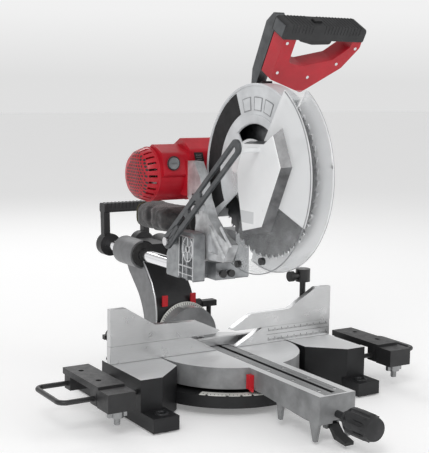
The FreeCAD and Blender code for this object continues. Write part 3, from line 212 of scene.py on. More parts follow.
def sawSteel():
    # ground steel disc: rings about the arbor, a smoky tint, brighter carbide at the rim
    centre = arborPoint
    paint = Paint("groundSawSteel")
    y, z = paint.split(paint.place())[1:]
    radius = ((y - centre.y) * (y - centre.y) + (z - centre.z) * (z - centre.z)) ** 0.5
    rings = paint.range((radius * grinding["ringTurns"]).wave(), 0.0, 1.0, -1.0, 1.0)
    smoke = paint.grain(0.03, 5)
    tone = paint.blend(paint.range(smoke, 0, 1, 0.3, 0.7), (0.05, 0.051, 0.053), (0.2, 0.203, 0.21))
    rim = radius > bladeRadius - grinding["carbide"]
    paint.set(Base_Color=paint.blend(rim, tone, (0.62, 0.62, 0.63)), Metallic=0.95)
    paint.set(Roughness=paint.range(rings, 0.28, 0.46))
    paint.bump(rings, 0.05, 0.0002)
    return paint.material


# metres, apart from the slope of the window and the strength of the frosting
guardZones = {"leftFace": -0.0308, "rightFace": 0.0108, "windowSlope": 0.357, "windowTop": 0.452,
              "frost": 0.62}


def clearGuard():
    # moulded polycarbonate: frosted white side plates, clear rim and a clear lower window
    paint = Paint("clearGuard")
    x, y, z = paint.split(paint.place())
    edge = paint.add("ShaderNodeLayerWeight", {}, {"Blend": 0.4}, "Facing")
    ripple = paint.grain(0.05, 3)
    leftPlate = x < guardZones["leftFace"]
    rightPlate = x > guardZones["rightFace"]
    window = (z - y * guardZones["windowSlope"]) < guardZones["windowTop"]
    frosted = leftPlate * (1 - window) + rightPlate
    clearTone = paint.blend(ripple, (0.72, 0.75, 0.77), (0.92, 0.93, 0.94))
    paint.set(Base_Color=paint.blend(frosted, clearTone, (0.9, 0.91, 0.92)))
    # opacity rises towards grazing angles and shows more of the whitish base there: a painted sheen standing
    # in for the clear plastic's reflection
    grazingSheen = paint.range(edge, 0.07, 0.34, 0.3, 1.0)
    paint.set(Alpha=grazingSheen + frosted * guardZones["frost"], Roughness=paint.range(ripple, 0.06, 0.16))
    paint.set(Specular_IOR_Level=0.7, Coat_Weight=0.4, Coat_Roughness=0.05)
    paint.bump(paint.grain(0.02, 2), 0.05, 0.0006)
    return paint.material


coverZones = {"face": -0.0492, "rimFront": -0.116, "panelFoot": 0.345, "panelTop": 0.366,
              "panelFront": -0.158}


def hubCoverPlastic():
    # white moulded cover whose sloping rim is charcoal on the front and lower sides
    paint = Paint("hubCover")
    x, y, z = paint.split(paint.place())
    zones = coverZones
    rim = (x > zones["face"]) * (y < zones["rimFront"])
    level = (z < zones["panelTop"]) * (z > zones["panelFoot"])
    panel = level * (y > zones["panelFront"]) * (x < zones["face"])
    blotch = paint.grain(0.05, 4)
    white = paint.blend(blotch, (0.76, 0.77, 0.78), (0.88, 0.885, 0.89))
    grey = paint.blend(panel, white, (0.6, 0.61, 0.62))
    sheen = paint.range(paint.grain(0.02, 3), 0, 1, 0.3, 0.7)
    charcoal = paint.blend(sheen, (0.05, 0.05, 0.053), (0.15, 0.152, 0.158))
    paint.set(Base_Color=paint.blend(rim, grey, charcoal))
    paint.set(Roughness=paint.range(blotch, 0.24, 0.36), Coat_Weight=0.3, Coat_Roughness=0.1)
    paint.bump(paint.grain(0.0008, 2), 0.06, 0.0003)
    return paint.material


armSide = -0.0605  # the arm's bare left face starts here


def armCasting():
    # painted casting: grey blasted side, black front
    paint = Paint("armCasting")
    side = paint.split(paint.place())[0] < armSide
    pits = paint.grain(0.0009, 3, rough=0.65)
    mottle = paint.grain(0.015, 5)
    black = paint.blend(mottle, (0.012, 0.012, 0.013), (0.03, 0.03, 0.032))
    grey = paint.blend(mottle, (0.13, 0.132, 0.136), (0.25, 0.253, 0.26))
    paint.set(Base_Color=paint.blend(side, black, grey), Metallic=0.35)
    paint.set(Roughness=paint.range(pits, 0.34, 0.52, 0.3, 0.7))
    paint.bump(pits, 0.3, 0.0004)
    return paint.material


weaving = {"turns": 5200, "fill": 0.6, "relief": 0.5}  # threads in radians to the metre


def bagCloth():
    # plain-woven dark polyester with a dusty bloom
    paint = Paint("bagCloth")
    x, y, z = paint.split(paint.place())
    turns = weaving["turns"]
    weave = (x * turns).wave() * (z * turns).wave() + (y * turns).wave() * weaving["fill"]
    dust = paint.grain(0.018, 5)
    tone = paint.blend(paint.range(dust, 0, 1, 0.4, 0.75), (0.018, 0.018, 0.02), (0.075, 0.074, 0.072))
    paint.set(Base_Color=tone, Roughness=paint.range(dust, 0.85, 0.97), Sheen_Weight=0.4)
    paint.bump(weave * weaving["relief"] + dust, 0.35, 0.0004)
    return paint.material


def rubberCompound(name, colour):
    # rubber: matt black, slightly greyed where handled
    paint = Paint(name)
    bloom = paint.grain(0.01, 4)
    greyed = tuple(c + 0.03 for c in colour)
    paint.set(Base_Color=paint.blend(paint.range(bloom, 0, 1, 0.4, 0.8), colour, greyed))
    paint.set(Roughness=paint.range(bloom, 0.62, 0.85))
    paint.bump(paint.grain(0.0008, 3), 0.2, 0.0003)
    return paint.material


bladeLow, bladeHigh = (Vector(corner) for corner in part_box("blade"))
arborPoint = (bladeLow + bladeHigh) / 2
bladeRadius = (bladeHigh.z - bladeLow.z) / 2
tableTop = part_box("kerf_plate")[1][2]

redPlastic = mouldedPlastic("crimsonShell", (0.46, 0.002, 0.014), 0.4, coat=0.06)
darkPlastic = mouldedPlastic("charcoalPlastic", (0.013, 0.013, 0.014), 0.45, bump=0.3)
gripPlastic = mouldedPlastic("gripPlastic", (0.018, 0.0185, 0.02), 0.55, 0.0011, 0.45)
guardPaint = mouldedPlastic("guardPaint", (0.62, 0.635, 0.65), 0.36, bump=0.05, coat=0.3)
armCast = castMetal("darkCasting", (0.03, 0.031, 0.033), 0.42, 0.4)
greyCast = castMetal("greyCasting", (0.34, 0.35, 0.36), 0.45, 0.75)
neckCast = castMetal("brightCasting", (0.66, 0.67, 0.68), 0.42, 0.6, bump=0.12)
tableCast = machinedTop("milledTable", (0.30, 0.305, 0.31), (0.84, 0.845, 0.85), tableTop - 0.006)
baseCast = machinedTop("milledBase", (0.016, 0.0165, 0.018), (0.84, 0.845, 0.85), tableTop - 0.006)
fenceMetal = brushedMetal("fenceAluminium", (0.66, 0.665, 0.67), (0.03, 1, 1), 0.34, bump=0.12)
kerfMetal = machinedTop("kerfInsert", (0.05, 0.05, 0.052), (0.34, 0.345, 0.35), tableTop - 0.001, 0.55)
scaleMetal = brushedMetal("scaleSteel", (0.72, 0.73, 0.74), (1, 1, 1), 0.3)
zincSteel = polishedSteel("zincSteel", (0.72, 0.72, 0.73), 0.22)
knurlSteel = brushedMetal("knurlSteel", (0.36, 0.365, 0.37), (1, 1, 0.1), 0.35)
chromeRail = polishedSteel("chromeRail", (0.88, 0.88, 0.9), 0.07)
blackSteel = mouldedPlastic("blackSteel", (0.015, 0.015, 0.016), 0.4, bump=0.08, coat=0.2)
linkSteel = castMetal("linkSteel", (0.11, 0.115, 0.12), 0.42, 0.7)
rubber = rubberCompound("rubber", (0.012, 0.012, 0.012))
copper = brushedMetal("copperWinding", (0.7, 0.32, 0.16), (1, 1, 1), 0.4)
whitePlate = mouldedPlastic("scalePlate", (0.78, 0.78, 0.74), 0.35, bump=0.03)
redMark = mouldedPlastic("pointerRed", (0.6, 0.01, 0.02), 0.35)
ink = mouldedPlastic("ink", (0.006, 0.006, 0.007), 0.7, bump=0.05)
pipingCloth = mouldedPlastic("pipingCloth", (0.1, 0.095, 0.055), 0.85, bump=0.5)
clear = clearGuard()
sawMetal = sawSteel()
cloth = bagCloth()

finishes = {
    "base_casting": baseCast, "miter_scale": whitePlate, "fixed_fence": fenceMetal, "rubber_feet": rubber,
    "left_sliding_fence": fenceMetal, "right_sliding_fence": fenceMetal, "left_fence_knob": darkPlastic,
    "right_fence_knob": darkPlastic, "left_extension_rod": blackSteel, "right_extension_rod": blackSteel,
    "left_support": darkPlastic, "right_support": darkPlastic, "left_support_screw": knurlSteel,
    "right_support_screw": knurlSteel, "clamp_post": blackSteel, "clamp_knob": darkPlastic,
    "turntable": tableCast, "table_arm": tableCast, "kerf_plate": kerfMetal, "kerf_screws": zincSteel,
    "miter_pointer": redMark, "bevel_scale": whitePlate, "miter_knob": gripPlastic,
    "detent_lever": darkPlastic, "bevel_arm": armCasting(), "bevel_pointers": redMark,
    "linear_bearings": zincSteel, "rail_seals": rubber, "bevel_pivot_bolt": zincSteel,
    "bevel_lock_lever": darkPlastic, "rail_lock_knob": darkPlastic, "rails": chromeRail,
    "carriage": greyCast, "rear_carry_handle": darkPlastic, "pivot_pins": zincSteel,
    "depth_stop_screws": blackSteel, "return_spring": zincSteel, "stow_pin": darkPlastic,
    "guard_link": linkSteel, "neck_casting": neckCast, "upper_guard": guardPaint, "belt_case": armCast,
    "motor_housing": redPlastic, "motor_end_cap": redPlastic, "stator": copper, "armature": zincSteel,
    "brush_caps": greyCast, "drive_belt": rubber, "blade": sawMetal, "arbor": zincSteel,
    "lower_guard": clear, "guard_hub_cover": hubCoverPlastic(), "dust_boot": rubber, "dust_bag": cloth,
    "handle_body": redPlastic, "handle_grip": gripPlastic, "trigger": darkPlastic,
    "lock_button": darkPlastic, "handle_arm": linkSteel, "depth_stop_knob": knurlSteel,
}

edging = {"usual": 0.0006, "broad": 0.0025, "sharp": 38, "weld": 0.00002}  # metres, sharp in degrees
softening = {  # rounded edges, in metres
    "handle_body": 0.006, "handle_grip": 0.005, "motor_housing": 0.004, "rear_carry_handle": 0.003,
    "bevel_arm": 0.003, "base_casting": 0.0015, "table_arm": 0.002, "turntable": 0.0012,
    "carriage": 0.0015, "neck_casting": 0.004, "left_support": 0.003, "right_support": 0.003,
    "belt_case": 0.004, "guard_hub_cover": 0.003, "upper_guard": 0.0008, "guard_link": 0.001,
    "handle_arm": 0.003, "trigger": 0.002, "left_sliding_fence": 0.0012, "right_sliding_fence": 0.0012,
    "fixed_fence": 0.001, "miter_knob": 0.0015, "lower_guard": 0.0006,
}


def dressFrame():
    for name, material in finishes.items():
        body = nodes[name]
        for slot in body.material_slots:
            slot.link = "OBJECT"
            slot.material = material
        width = softening.get(name, edging["usual"])
        weld = body.modifiers.new("weld", "WELD")
        weld.merge_threshold = edging["weld"]
        bevel = body.modifiers.new("edges", "BEVEL")
        bevel.width = width
        bevel.segments = 3 if width > edging["broad"] else 2
        bevel.limit_method = "ANGLE"
        bevel.angle_limit = math.radians(edging["sharp"])
        bevel.harden_normals = False
        smooth = body.modifiers.new("shading", "WEIGHTED_NORMAL")
        smooth.keep_sharp = False


dressFrame()
print("frame dressed:", len(finishes))


class Builder:
    # gathers simple solids into one mesh, in millimetres of the part
    def __init__(self, name, body, material, soften=0.0):
        self.mesh = bmesh.new()
        self.name, self.body, self.material, self.soften = name, body, material, soften

    def prism(self, corners, depth, turn=Vector):
        lower = [self.mesh.verts.new(turn(c)) for c in corners]
        upper = [self.mesh.verts.new(turn(Vector(c) + Vector(depth))) for c in corners]
        self.mesh.faces.new(list(reversed(lower)))
        self.mesh.faces.new(upper)
        for i in range(len(corners)):
            after = (i + 1) % len(corners)
            self.mesh.faces.new((lower[i], lower[after], upper[after], upper[i]))

    def side(self, outline, start, end):
        self.prism([(start, y, z) for y, z in outline], (end - start, 0, 0))

    def block(self, low, high, turn=Vector):
        x0, y0, z0 = low
        x1, y1, z1 = high
        self.prism([(x0, y0, z0), (x1, y0, z0), (x1, y1, z0), (x0, y1, z0)], (0, 0, z1 - z0), turn)

    def rod(self, axis, start, radius, length, sides=28):
        spin = {"X": Matrix.Rotation(math.pi / 2, 4, "Y"), "Y": Matrix.Rotation(-math.pi / 2, 4, "X"),
                "Z": Matrix.Identity(4)}[axis]
        middle = Vector(start) + Vector([length / 2 if axis == a else 0 for a in "XYZ"])
        bmesh.ops.create_cone(self.mesh, cap_ends=True, segments=sides, radius1=radius, radius2=radius,
                              depth=length, matrix=Matrix.Translation(middle) @ spin)

    def hoop(self, centre, across, along, big, small, sides=40, rings=8):
        # torus whose circle lies in the plane of two directions
        across, along = Vector(across), Vector(along)
        normal = across.cross(along)
        grid = []
        for i in range(sides):
            turn = 2 * math.pi * i / sides
            out = across * math.cos(turn) + along * math.sin(turn)
            row = []
            for j in range(rings):
                roll = 2 * math.pi * j / rings
                reach = out * (big + small * math.cos(roll))
                row.append(self.mesh.verts.new(Vector(centre) + reach + normal * small * math.sin(roll)))
            grid.append(row)
        for i in range(sides):
            for j in range(rings):
                self.mesh.faces.new((grid[i][j], grid[(i + 1) % sides][j],
                                     grid[(i + 1) % sides][(j + 1) % rings], grid[i][(j + 1) % rings]))

    def tube(self, path, radius, rings=8):
        path = [Vector(p) for p in path]
        angles = [2 * math.pi * j / rings for j in range(rings)]
        rows = []
        sideways = None
        for i, point in enumerate(path):
            ahead = (path[min(i + 1, len(path) - 1)] - path[max(i - 1, 0)]).normalized()
            if sideways is None:
                sideways = ahead.orthogonal().normalized()
            else:
                sideways = (sideways - ahead * sideways.dot(ahead)).normalized()
            other = ahead.cross(sideways)
            rows.append([self.mesh.verts.new(point + (sideways * math.cos(a) + other * math.sin(a)) * radius)
                         for a in angles])
        for first, second in zip(rows, rows[1:]):
            for j in range(rings):
                self.mesh.faces.new((first[j], first[(j + 1) % rings], second[(j + 1) % rings], second[j]))
        self.mesh.faces.new(rows[0])
        self.mesh.faces.new(list(reversed(rows[-1])))

    def arc(self, inner, outer, start, end, left, right, step=3):
        count = max(2, int(abs(end - start) / step) + 1)
        angles = [math.radians(start + (end - start) * i / count) for i in range(count + 1)]
        hub = arborPoint * 1000
        ring = [(hub.y + outer * math.cos(a), hub.z + outer * math.sin(a)) for a in angles]
        ring += [(hub.y + inner * math.cos(a), hub.z + inner * math.sin(a)) for a in reversed(angles)]
        self.side(ring, left, right)

    def fan(self, centre, ahead, across, start, end, width, depth):
        # a graduation line that points away from a centre
        near, far, half = Vector(centre) + ahead * start, Vector(centre) + ahead * end, across * width / 2
        self.prism([near - half, far - half, far + half, near + half], depth)

    def done(self):
        bmesh.ops.recalc_face_normals(self.mesh, faces=self.mesh.faces)
        bmesh.ops.scale(self.mesh, vec=(mm, mm, mm), verts=self.mesh.verts)
        data = bpy.data.meshes.new(self.name)
        self.mesh.to_mesh(data)
        self.mesh.free()
        for face in data.polygons:
            face.use_smooth = True
        made = bpy.data.objects.new(self.name, data)
        bpy.context.scene.collection.objects.link(made)
        data.materials.append(self.material)
        edge = made.modifiers.new("edges", "BEVEL")
        edge.width = (self.soften or 0.2) * mm
        edge.segments = 2
        edge.limit_method = "ANGLE"
        edge.angle_limit = math.radians(40)
        made.modifiers.new("shading", "WEIGHTED_NORMAL")
        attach(made, self.body)


# the fitted pieces below are given in millimetres and degrees, in the part's own frame
motor = {"y": 112, "z": 412, "brush": (-88, 54.6, 436), "brushRing": (12.4, 1.2), "profile": [
    (0, -145), (24, -145), (37, -141), (45, -133), (49, -123), (51, -112)]}
vent = {"pitch": 6.8, "rowPitch": 0.87, "rows": 7, "reach": 43, "plainFrom": 24, "plainSide": 12,
        "cell": 2.5, "slant": 0.9, "depth": 0.6}
plate = {"corners": [(-44, 455), (-25, 455), (-21, 438), (-40, 438)], "y": 55.2, "depth": 1.2,
         "lines": 3, "line": ((-40, 54.9, 449.5), (-28, 55.3, 450.3)), "lineStep": (1, 0, -4)}
seam = {"cap": (-112.5, 51.2, 1.3), "neck": (-30, 50.6, 1.5), "sides": 64}
lean = {"angle": 29.5, "base": (0, -80, 587)}


def leaned(point):
    # handle space: x, height up the lean, depth towards the operator
    turn = math.radians(lean["angle"])
    up = Vector((0, -math.sin(turn), math.cos(turn)))
    out = Vector((0, -math.cos(turn), -math.sin(turn)))
    x, height, depth = point
    return Vector(lean["base"]) + Vector((x, 0, 0)) + up * height + out * depth


def capSurface(radius):
    # how far out the end cap's face lies at a radius from the motor's axis
    steps = motor["profile"]
    for (r0, x0), (r1, x1) in zip(steps, steps[1:]):
        if radius <= r1:
            return x0 + (x1 - x0) * (radius - r0) / (r1 - r0)
    return steps[-1][1]


def dressMotor():
    # black hex cells laid on the end cap: painted shade standing in for the vent holes and the dark inside
    # of the motor behind them
    ventShade = Builder("motor_vent_shade", "head", blackSteel)
    for row in range(-vent["rows"], vent["rows"] + 1):
        for column in range(-vent["rows"], vent["rows"] + 1):
            y = (column + (row % 2) * 0.5) * vent["pitch"]
            z = row * vent["pitch"] * vent["rowPitch"]
            reach = math.hypot(y, z)
            if reach > vent["reach"] or (reach > vent["plainFrom"] and y > vent["plainSide"]):
                continue
            cell = []
            for k in range(6):
                turn = math.radians(30 + 60 * k)
                dy = y + vent["cell"] * math.cos(turn) + vent["slant"] * math.sin(turn)
                dz = z + vent["cell"] * math.sin(turn)
                face = capSurface(math.hypot(dy, dz)) - vent["depth"] / 2
                cell.append((face, motor["y"] + dy, motor["z"] + dz))
            ventShade.prism(cell, (vent["depth"], 0, 0))
    ventShade.done()
    ring = Builder("brush_ring", "head", blackSteel)
    ring.hoop(motor["brush"], (1, 0, 0), (0, 0, 1), *motor["brushRing"])
    ring.done()
    badge = Builder("motor_plate", "head", blackSteel, 0.4)
    badge.prism([(x, plate["y"], z) for x, z in plate["corners"]], (0, plate["depth"], 0))
    badge.done()
    lines = Builder("motor_plate_lines", "head", scaleMetal)
    for k in range(plate["lines"]):
        step = Vector(plate["lineStep"]) * k
        low, high = plate["line"]
        lines.block(Vector(low) + step, Vector(high) + step)
    lines.done()
    seams = Builder("motor_seam", "head", redPlastic, 0.8)
    for x, radius, cord in (seam["cap"], seam["neck"]):
        seams.hoop((x, motor["y"], motor["z"]), (0, 1, 0), (0, 0, 1), radius, cord, seam["sides"])
    seams.done()


guardArcs = {  # inner and outer radius, start and end in degrees, left and right face
    "band": [(112, 152, -30, 66, -26.7, -25.8)],
    "rim": [(154, 158.4, -34, 122, -27.2, -25.8), (89, 104, 50, 122, -27.4, -25.8)],
    "outline": [(174.4, 176.2, 124, 289, -34.5, -33.5, 2), (174.4, 176.2, 124, 289, 13.4, 14.3, 2)],
}
pads = {"centres": (78, 94, 109), "radii": (111.4, 133.6), "half": 5.4, "sides": (-5.4, 4.9),
        "line": 1.3, "sideLine": 0.6, "faces": (-27.3, -26.2)}
rollers = {"places": [(-93, 265), (-168, 281)], "radius": 6.5, "start": -42, "width": 8.2,
           "pinRadius": 3, "pinStart": -43, "pinLength": 1.5}
holeMark = {"outline": [(-293, 449), (-288, 449), (-288, 455), (-293, 455)], "faces": (14, 14.3)}
tips = {"count": 48, "corners": [(152.2, 0.0), (151.4, 0.018), (146.5, 0.02), (147, 0.0)], "half": 1.6}


def guardStrip(name, body, material, arcs, soften=0.0):
    strip = Builder(name, body, material, soften)
    for arc in arcs:
        strip.arc(*arc)
    strip.done()


def dressGuards():
    guardStrip("guard_band", "head", ink, guardArcs["band"])
    guardStrip("guard_rim", "head", guardPaint, guardArcs["rim"], 0.5)
    lines = []
    left, right = pads["faces"]
    inner, outer = pads["radii"]
    for centre in pads["centres"]:
        for radius in pads["radii"]:
            sweep = centre - pads["half"], centre + pads["half"]
            lines.append((radius, radius + pads["line"], *sweep, left, right, 2))
        for side in pads["sides"]:
            sweep = centre + side, centre + side + pads["sideLine"]
            lines.append((inner, outer + pads["line"], *sweep, left, right, 1))
    guardStrip("guard_pads", "head", greyCast, lines)
    pair = Builder("guard_rollers", "lower_guard", blackSteel, 0.6)
    for y, z in rollers["places"]:
        pair.rod("X", (rollers["start"], y, z), rollers["radius"], rollers["width"])
        pair.rod("X", (rollers["pinStart"], y, z), rollers["pinRadius"], rollers["pinLength"])
    pair.done()
    guardStrip("guard_outline", "lower_guard", greyCast, guardArcs["outline"])
    mark = Builder("guard_hole", "lower_guard", greyCast)
    mark.side(holeMark["outline"], *holeMark["faces"])
    mark.done()
    teeth = Builder("blade_tips", "blade", chromeRail)
    hub = arborPoint * 1000
    for i in range(tips["count"]):
        turn = 2 * math.pi * i / tips["count"]
        corners = [(radius, turn + offset) for radius, offset in tips["corners"]]
        outline = [(hub.y + r * math.cos(a), hub.z + r * math.sin(a)) for r, a in corners]
        teeth.side(outline, -tips["half"], tips["half"])
    teeth.done()


grip = {"ribs": range(28, 182, 7), "gap": (74, 98), "ribWidth": 3, "ribHeights": (109, 124.7),
        "ribHalf": 19.6, "cap": ((11.2, 99, -16), (13, 121, 16))}
handleScrews = {"places": ((27, 30), (27, 88), (96, 22), (150, 50), (180, 82)), "radius": 3,
                "faces": (16.9, 17.6), "sides": 16}
carryRibs = {"count": 11, "inset": 18, "width": 3, "depth": 12, "proud": 0.5}


def dressHandle():
    ribs = Builder("grip_ribs", "head", gripPlastic, 0.5)
    low, high = grip["ribHeights"]
    for x in grip["ribs"]:
        if grip["gap"][0] < x < grip["gap"][1]:
            continue
        ribs.block((x, low, -grip["ribHalf"]), (x + grip["ribWidth"], high, grip["ribHalf"]), leaned)
    ribs.done()
    cap = Builder("grip_cap", "head", linkSteel, 1.5)
    cap.block(*grip["cap"], leaned)
    cap.done()
    screws = Builder("handle_screws", "head", zincSteel)
    radius, (near, far) = handleScrews["radius"], handleScrews["faces"]
    angles = [2 * math.pi * k / handleScrews["sides"] for k in range(handleScrews["sides"])]
    for x, height in handleScrews["places"]:
        ring = [leaned((x + radius * math.cos(a), height + radius * math.sin(a), near)) for a in angles]
        screws.prism(ring, leaned((0, 0, far)) - leaned((0, 0, near)))
    screws.done()
    carry = Builder("carry_ribs", "sled", gripPlastic, 0.4)
    low, high = (Vector(c) * 1000 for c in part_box("rear_carry_handle"))
    pitch = (high.x - low.x - 2 * carryRibs["inset"]) / (carryRibs["count"] - 0.5)
    for k in range(carryRibs["count"]):
        x = low.x + carryRibs["inset"] + k * pitch
        carry.block((x, low.y + 1, high.z - carryRibs["depth"]),
                    (x + carryRibs["width"], high.y - 1, high.z + carryRibs["proud"]))
    carry.done()


lug = {"centre": (-84.3, 6, 281), "oval": (0.86, 1.12), "ring": (20.5, 1.5), "eye": (6, 1.6), "spokes": 6,
       "spokeRoot": 6.5, "spokeEnd": (17.5, 22), "spokeCord": 1.2, "face": -84.2, "levels": (233, 248, 303),
       "uprights": (-13, 24, 38), "across": (-14, 40), "rise": (226, 304), "ribCord": 1.1}
neckRibs = {"paths": (((-26, 326), (-82, 274), 9), ((-66, 330), (-103, 297), 7)), "faces": (-61.5, -57)}
frameBolts = {"places": (-30, -12), "y": -22.5, "z": 236, "radius": 5.5, "length": 5}
# path of a painted highlight, a bright bead along the arm's curved edge
armEdgeHighlight = {"x": -62.6, "radius": 1.5,
           "path": [(162.4, 98), (163, 130), (169.5, 158), (184, 186), (205, 210), (224, 226)]}


def dressCarriage():
    # bright metal tubes tracing the lug's oval rim, eye, spokes and ribs on the grey casting: painted
    # highlights along their cast edges
    ring = Builder("lug_rim_highlights", "sled", scaleMetal, 0.3)
    centre = Vector(lug["centre"])
    wide, tall = lug["oval"]
    ring.hoop(centre, (0, wide, 0), (0, 0, tall), *lug["ring"])
    ring.hoop(centre, (0, 1, 0), (0, 0, 1), *lug["eye"])
    root, (endY, endZ) = lug["spokeRoot"], lug["spokeEnd"]
    for k in range(lug["spokes"]):
        turn = math.radians(30 + 360 * k / lug["spokes"])
        start = centre + Vector((0, root * math.cos(turn), root * math.sin(turn)))
        end = centre + Vector((0, endY * math.cos(turn), endZ * math.sin(turn)))
        ring.tube([start, end], lug["spokeCord"])
    for z in lug["levels"]:
        ring.tube([(lug["face"], y, z) for y in lug["across"]], lug["ribCord"])
    for y in lug["uprights"]:
        ring.tube([(lug["face"], y, z) for z in lug["rise"]], lug["ribCord"])
    ring.done()
    ribs = Builder("neck_ribs", "head", neckCast, 2.2)
    for first, second, width in neckRibs["paths"]:
        a, b = Vector(first), Vector(second)
        across = (b - a).orthogonal().normalized() * width / 2
        corners = [a + across, b + across, b - across, a - across]
        ribs.side([tuple(c) for c in corners], *neckRibs["faces"])
    ribs.done()
    bolts = Builder("frame_bolts", "sled", zincSteel, 0.4)
    for x in frameBolts["places"]:
        bolts.rod("Y", (x, frameBolts["y"], frameBolts["z"]), frameBolts["radius"], frameBolts["length"], 6)
    bolts.done()
    # bright metal bead along the cast arm's curved edge: a painted highlight
    edge = Builder("arm_edge_highlight", "tilt", scaleMetal)
    edge.tube([(armEdgeHighlight["x"], y, z) for y, z in armEdgeHighlight["path"]], armEdgeHighlight["radius"])
    edge.done()


folds = {"count": 4, "pitch": 5.2, "first": (-16, 81, 318), "radius": 20.6, "cord": 2.4}


def dressBoot():
    boot = Builder("boot_folds", "head", rubber, 0.5)
    for k in range(folds["count"]):
        centre = Vector(folds["first"]) + Vector((0, folds["pitch"] * k, 0))
        boot.hoop(centre, (1, 0, 0), (0, 0, 1), folds["radius"], folds["cord"])
    boot.done()


depthKnob = {"radius": 9, "ribs": 24, "ribRadius": 0.8, "ribFoot": 17, "ribLength": 13,
             "hoops": ((19.5, 1.6), (2.2, 1.2))}
miterRibs = {"count": 14, "radius": 0.8, "inset": 0.9, "start": 12, "length": 26}


def spotsRound(x, y, radius, count):
    return [(x + radius * math.cos(turn), y + radius * math.sin(turn))
            for turn in (2 * math.pi * k / count for k in range(count))]


def dressKnobs():
    low, high = (Vector(c) * 1000 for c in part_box("depth_stop_knob"))
    middle = (low + high) / 2
    knurl = Builder("depth_knob_knurl", "depth_knob", knurlSteel, 0.2)
    foot = high.z - depthKnob["ribFoot"]
    for x, y in spotsRound(middle.x, middle.y, depthKnob["radius"], depthKnob["ribs"]):
        knurl.rod("Z", (x, y, foot), depthKnob["ribRadius"], depthKnob["ribLength"], 6)
    knurl.done()
    collar = Builder("depth_knob_collar", "depth_knob", blackSteel, 0.4)
    for drop, cord in depthKnob["hoops"]:
        collar.hoop((middle.x, middle.y, high.z - drop), (1, 0, 0), (0, 1, 0), depthKnob["radius"], cord)
    collar.done()
    ribs = Builder("miter_knob_ribs", "miter_knob", gripPlastic, 0.3)
    low, high = (Vector(c) * 1000 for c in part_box("miter_knob"))
    middle = (low + high) / 2
    reach = min(high.x - low.x, high.z - low.z) / 2 - miterRibs["inset"]
    for x, z in spotsRound(middle.x, middle.z, reach, miterRibs["count"]):
        ribs.rod("Y", (x, low.y + miterRibs["start"], z), miterRibs["radius"], miterRibs["length"], 8)
    ribs.done()


thumbScrew = {"radius": 4.8, "length": 13, "ribs": 16, "ribRadius": 0.7, "ribFoot": 12, "ribLength": 11}


def dressSupports():
    # knurled thumb screws under the bed supports
    foot, drop = thumbScrew["length"], thumbScrew["ribFoot"]
    for side in ("left", "right"):
        low, high = (Vector(c) * 1000 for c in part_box(side + "_support_screw"))
        middle = (low + high) / 2
        screw = Builder(side + "_screw_knurl", side + "_support_screw", knurlSteel, 0.3)
        screw.rod("Z", (middle.x, middle.y, low.z - foot), thumbScrew["radius"], thumbScrew["length"], 20)
        for x, y in spotsRound(middle.x, middle.y, thumbScrew["radius"], thumbScrew["ribs"]):
            screw.rod("Z", (x, y, low.z - drop), thumbScrew["ribRadius"], thumbScrew["ribLength"], 6)
        screw.done()


ruler = {"count": 47, "start": 96, "pitch": 3.1, "half": 0.5, "faces": (-0.25, 0.1), "every": 5,
         "rows": ((88, 92, 95), (107, 110, 113)), "line": ((92, 100.4), (242, 101))}
bosses = {"x": (-216, 216), "y": (-137, 137), "z": 28, "radius": 9.5, "cord": 3.2}
bevelMarks = {"count": 29, "start": 20, "pitch": 5, "radii": (50, 55, 60.5), "centre": (0, 156.7, 84),
              "depth": 0.5}
miterMarks = {"count": 49, "start": 210, "pitch": 2.5, "radii": (150, 153, 158), "sink": 0.1, "depth": 0.35}
markWidth = 0.9


def dressScales():
    fence = Builder("fence_ruler", "base", ink)
    back, front = ruler["faces"]
    for k in range(ruler["count"]):
        x = ruler["start"] + ruler["pitch"] * k
        for foot, short, long in ruler["rows"]:
            top = long if k % ruler["every"] == 0 else short
            fence.block((x - ruler["half"], back, foot), (x + ruler["half"], front, top))
    (x0, z0), (x1, z1) = ruler["line"]
    fence.block((x0, back, z0), (x1, front, z1))
    fence.done()
    feet = Builder("foot_bosses", "base", armCast, 0.6)
    for x in bosses["x"]:
        for y in bosses["y"]:
            feet.hoop((x, y, bosses["z"]), (1, 0, 0), (0, 1, 0), bosses["radius"], bosses["cord"])
    feet.done()
    bevel = Builder("bevel_marks", "table", ink)
    long, short, end = bevelMarks["radii"]
    for k in range(bevelMarks["count"]):
        turn = math.radians(bevelMarks["start"] + bevelMarks["pitch"] * k)
        ahead = Vector((math.cos(turn), 0, math.sin(turn)))
        across = Vector((-math.sin(turn), 0, math.cos(turn)))
        start = long if k % 3 == 2 else short
        bevel.fan(bevelMarks["centre"], ahead, across, start, end, markWidth, (0, bevelMarks["depth"], 0))
    bevel.done()
    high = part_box("miter_scale")[1][2] * 1000
    miter = Builder("miter_marks", "base", ink)
    long, short, end = miterMarks["radii"]
    for k in range(miterMarks["count"]):
        turn = math.radians(miterMarks["start"] + miterMarks["pitch"] * k)
        ahead = Vector((math.cos(turn), math.sin(turn), 0))
        across = Vector((-math.sin(turn), math.cos(turn), 0))
        start = long if k % 6 == 0 else short
        centre = (0, 0, high - miterMarks["sink"])
        miter.fan(centre, ahead, across, start, end, markWidth, (0, 0, miterMarks["depth"]))
    miter.done()


bag = {"low": (-72, 101, 291), "high": (6, 250, 347), "around": 72, "along": 60, "square": 3.2,
       "neck": 0.52, "neckLength": 0.34, "noiseScale": (1.4, 5.0), "crease": 0.075, "fold": 0.035,
       "dent": 0.09, "dentPlace": 0.62, "dentWidth": 0.05, "sag": 0.06}
piping = {"y": 236, "scale": 0.93, "drop": 0.96, "square": 0.62, "around": 60, "cord": 1.5}


def bulge(value, power):
    # a circle's sine or cosine pushed towards a rounded square
    return math.copysign(abs(value) ** power, value)


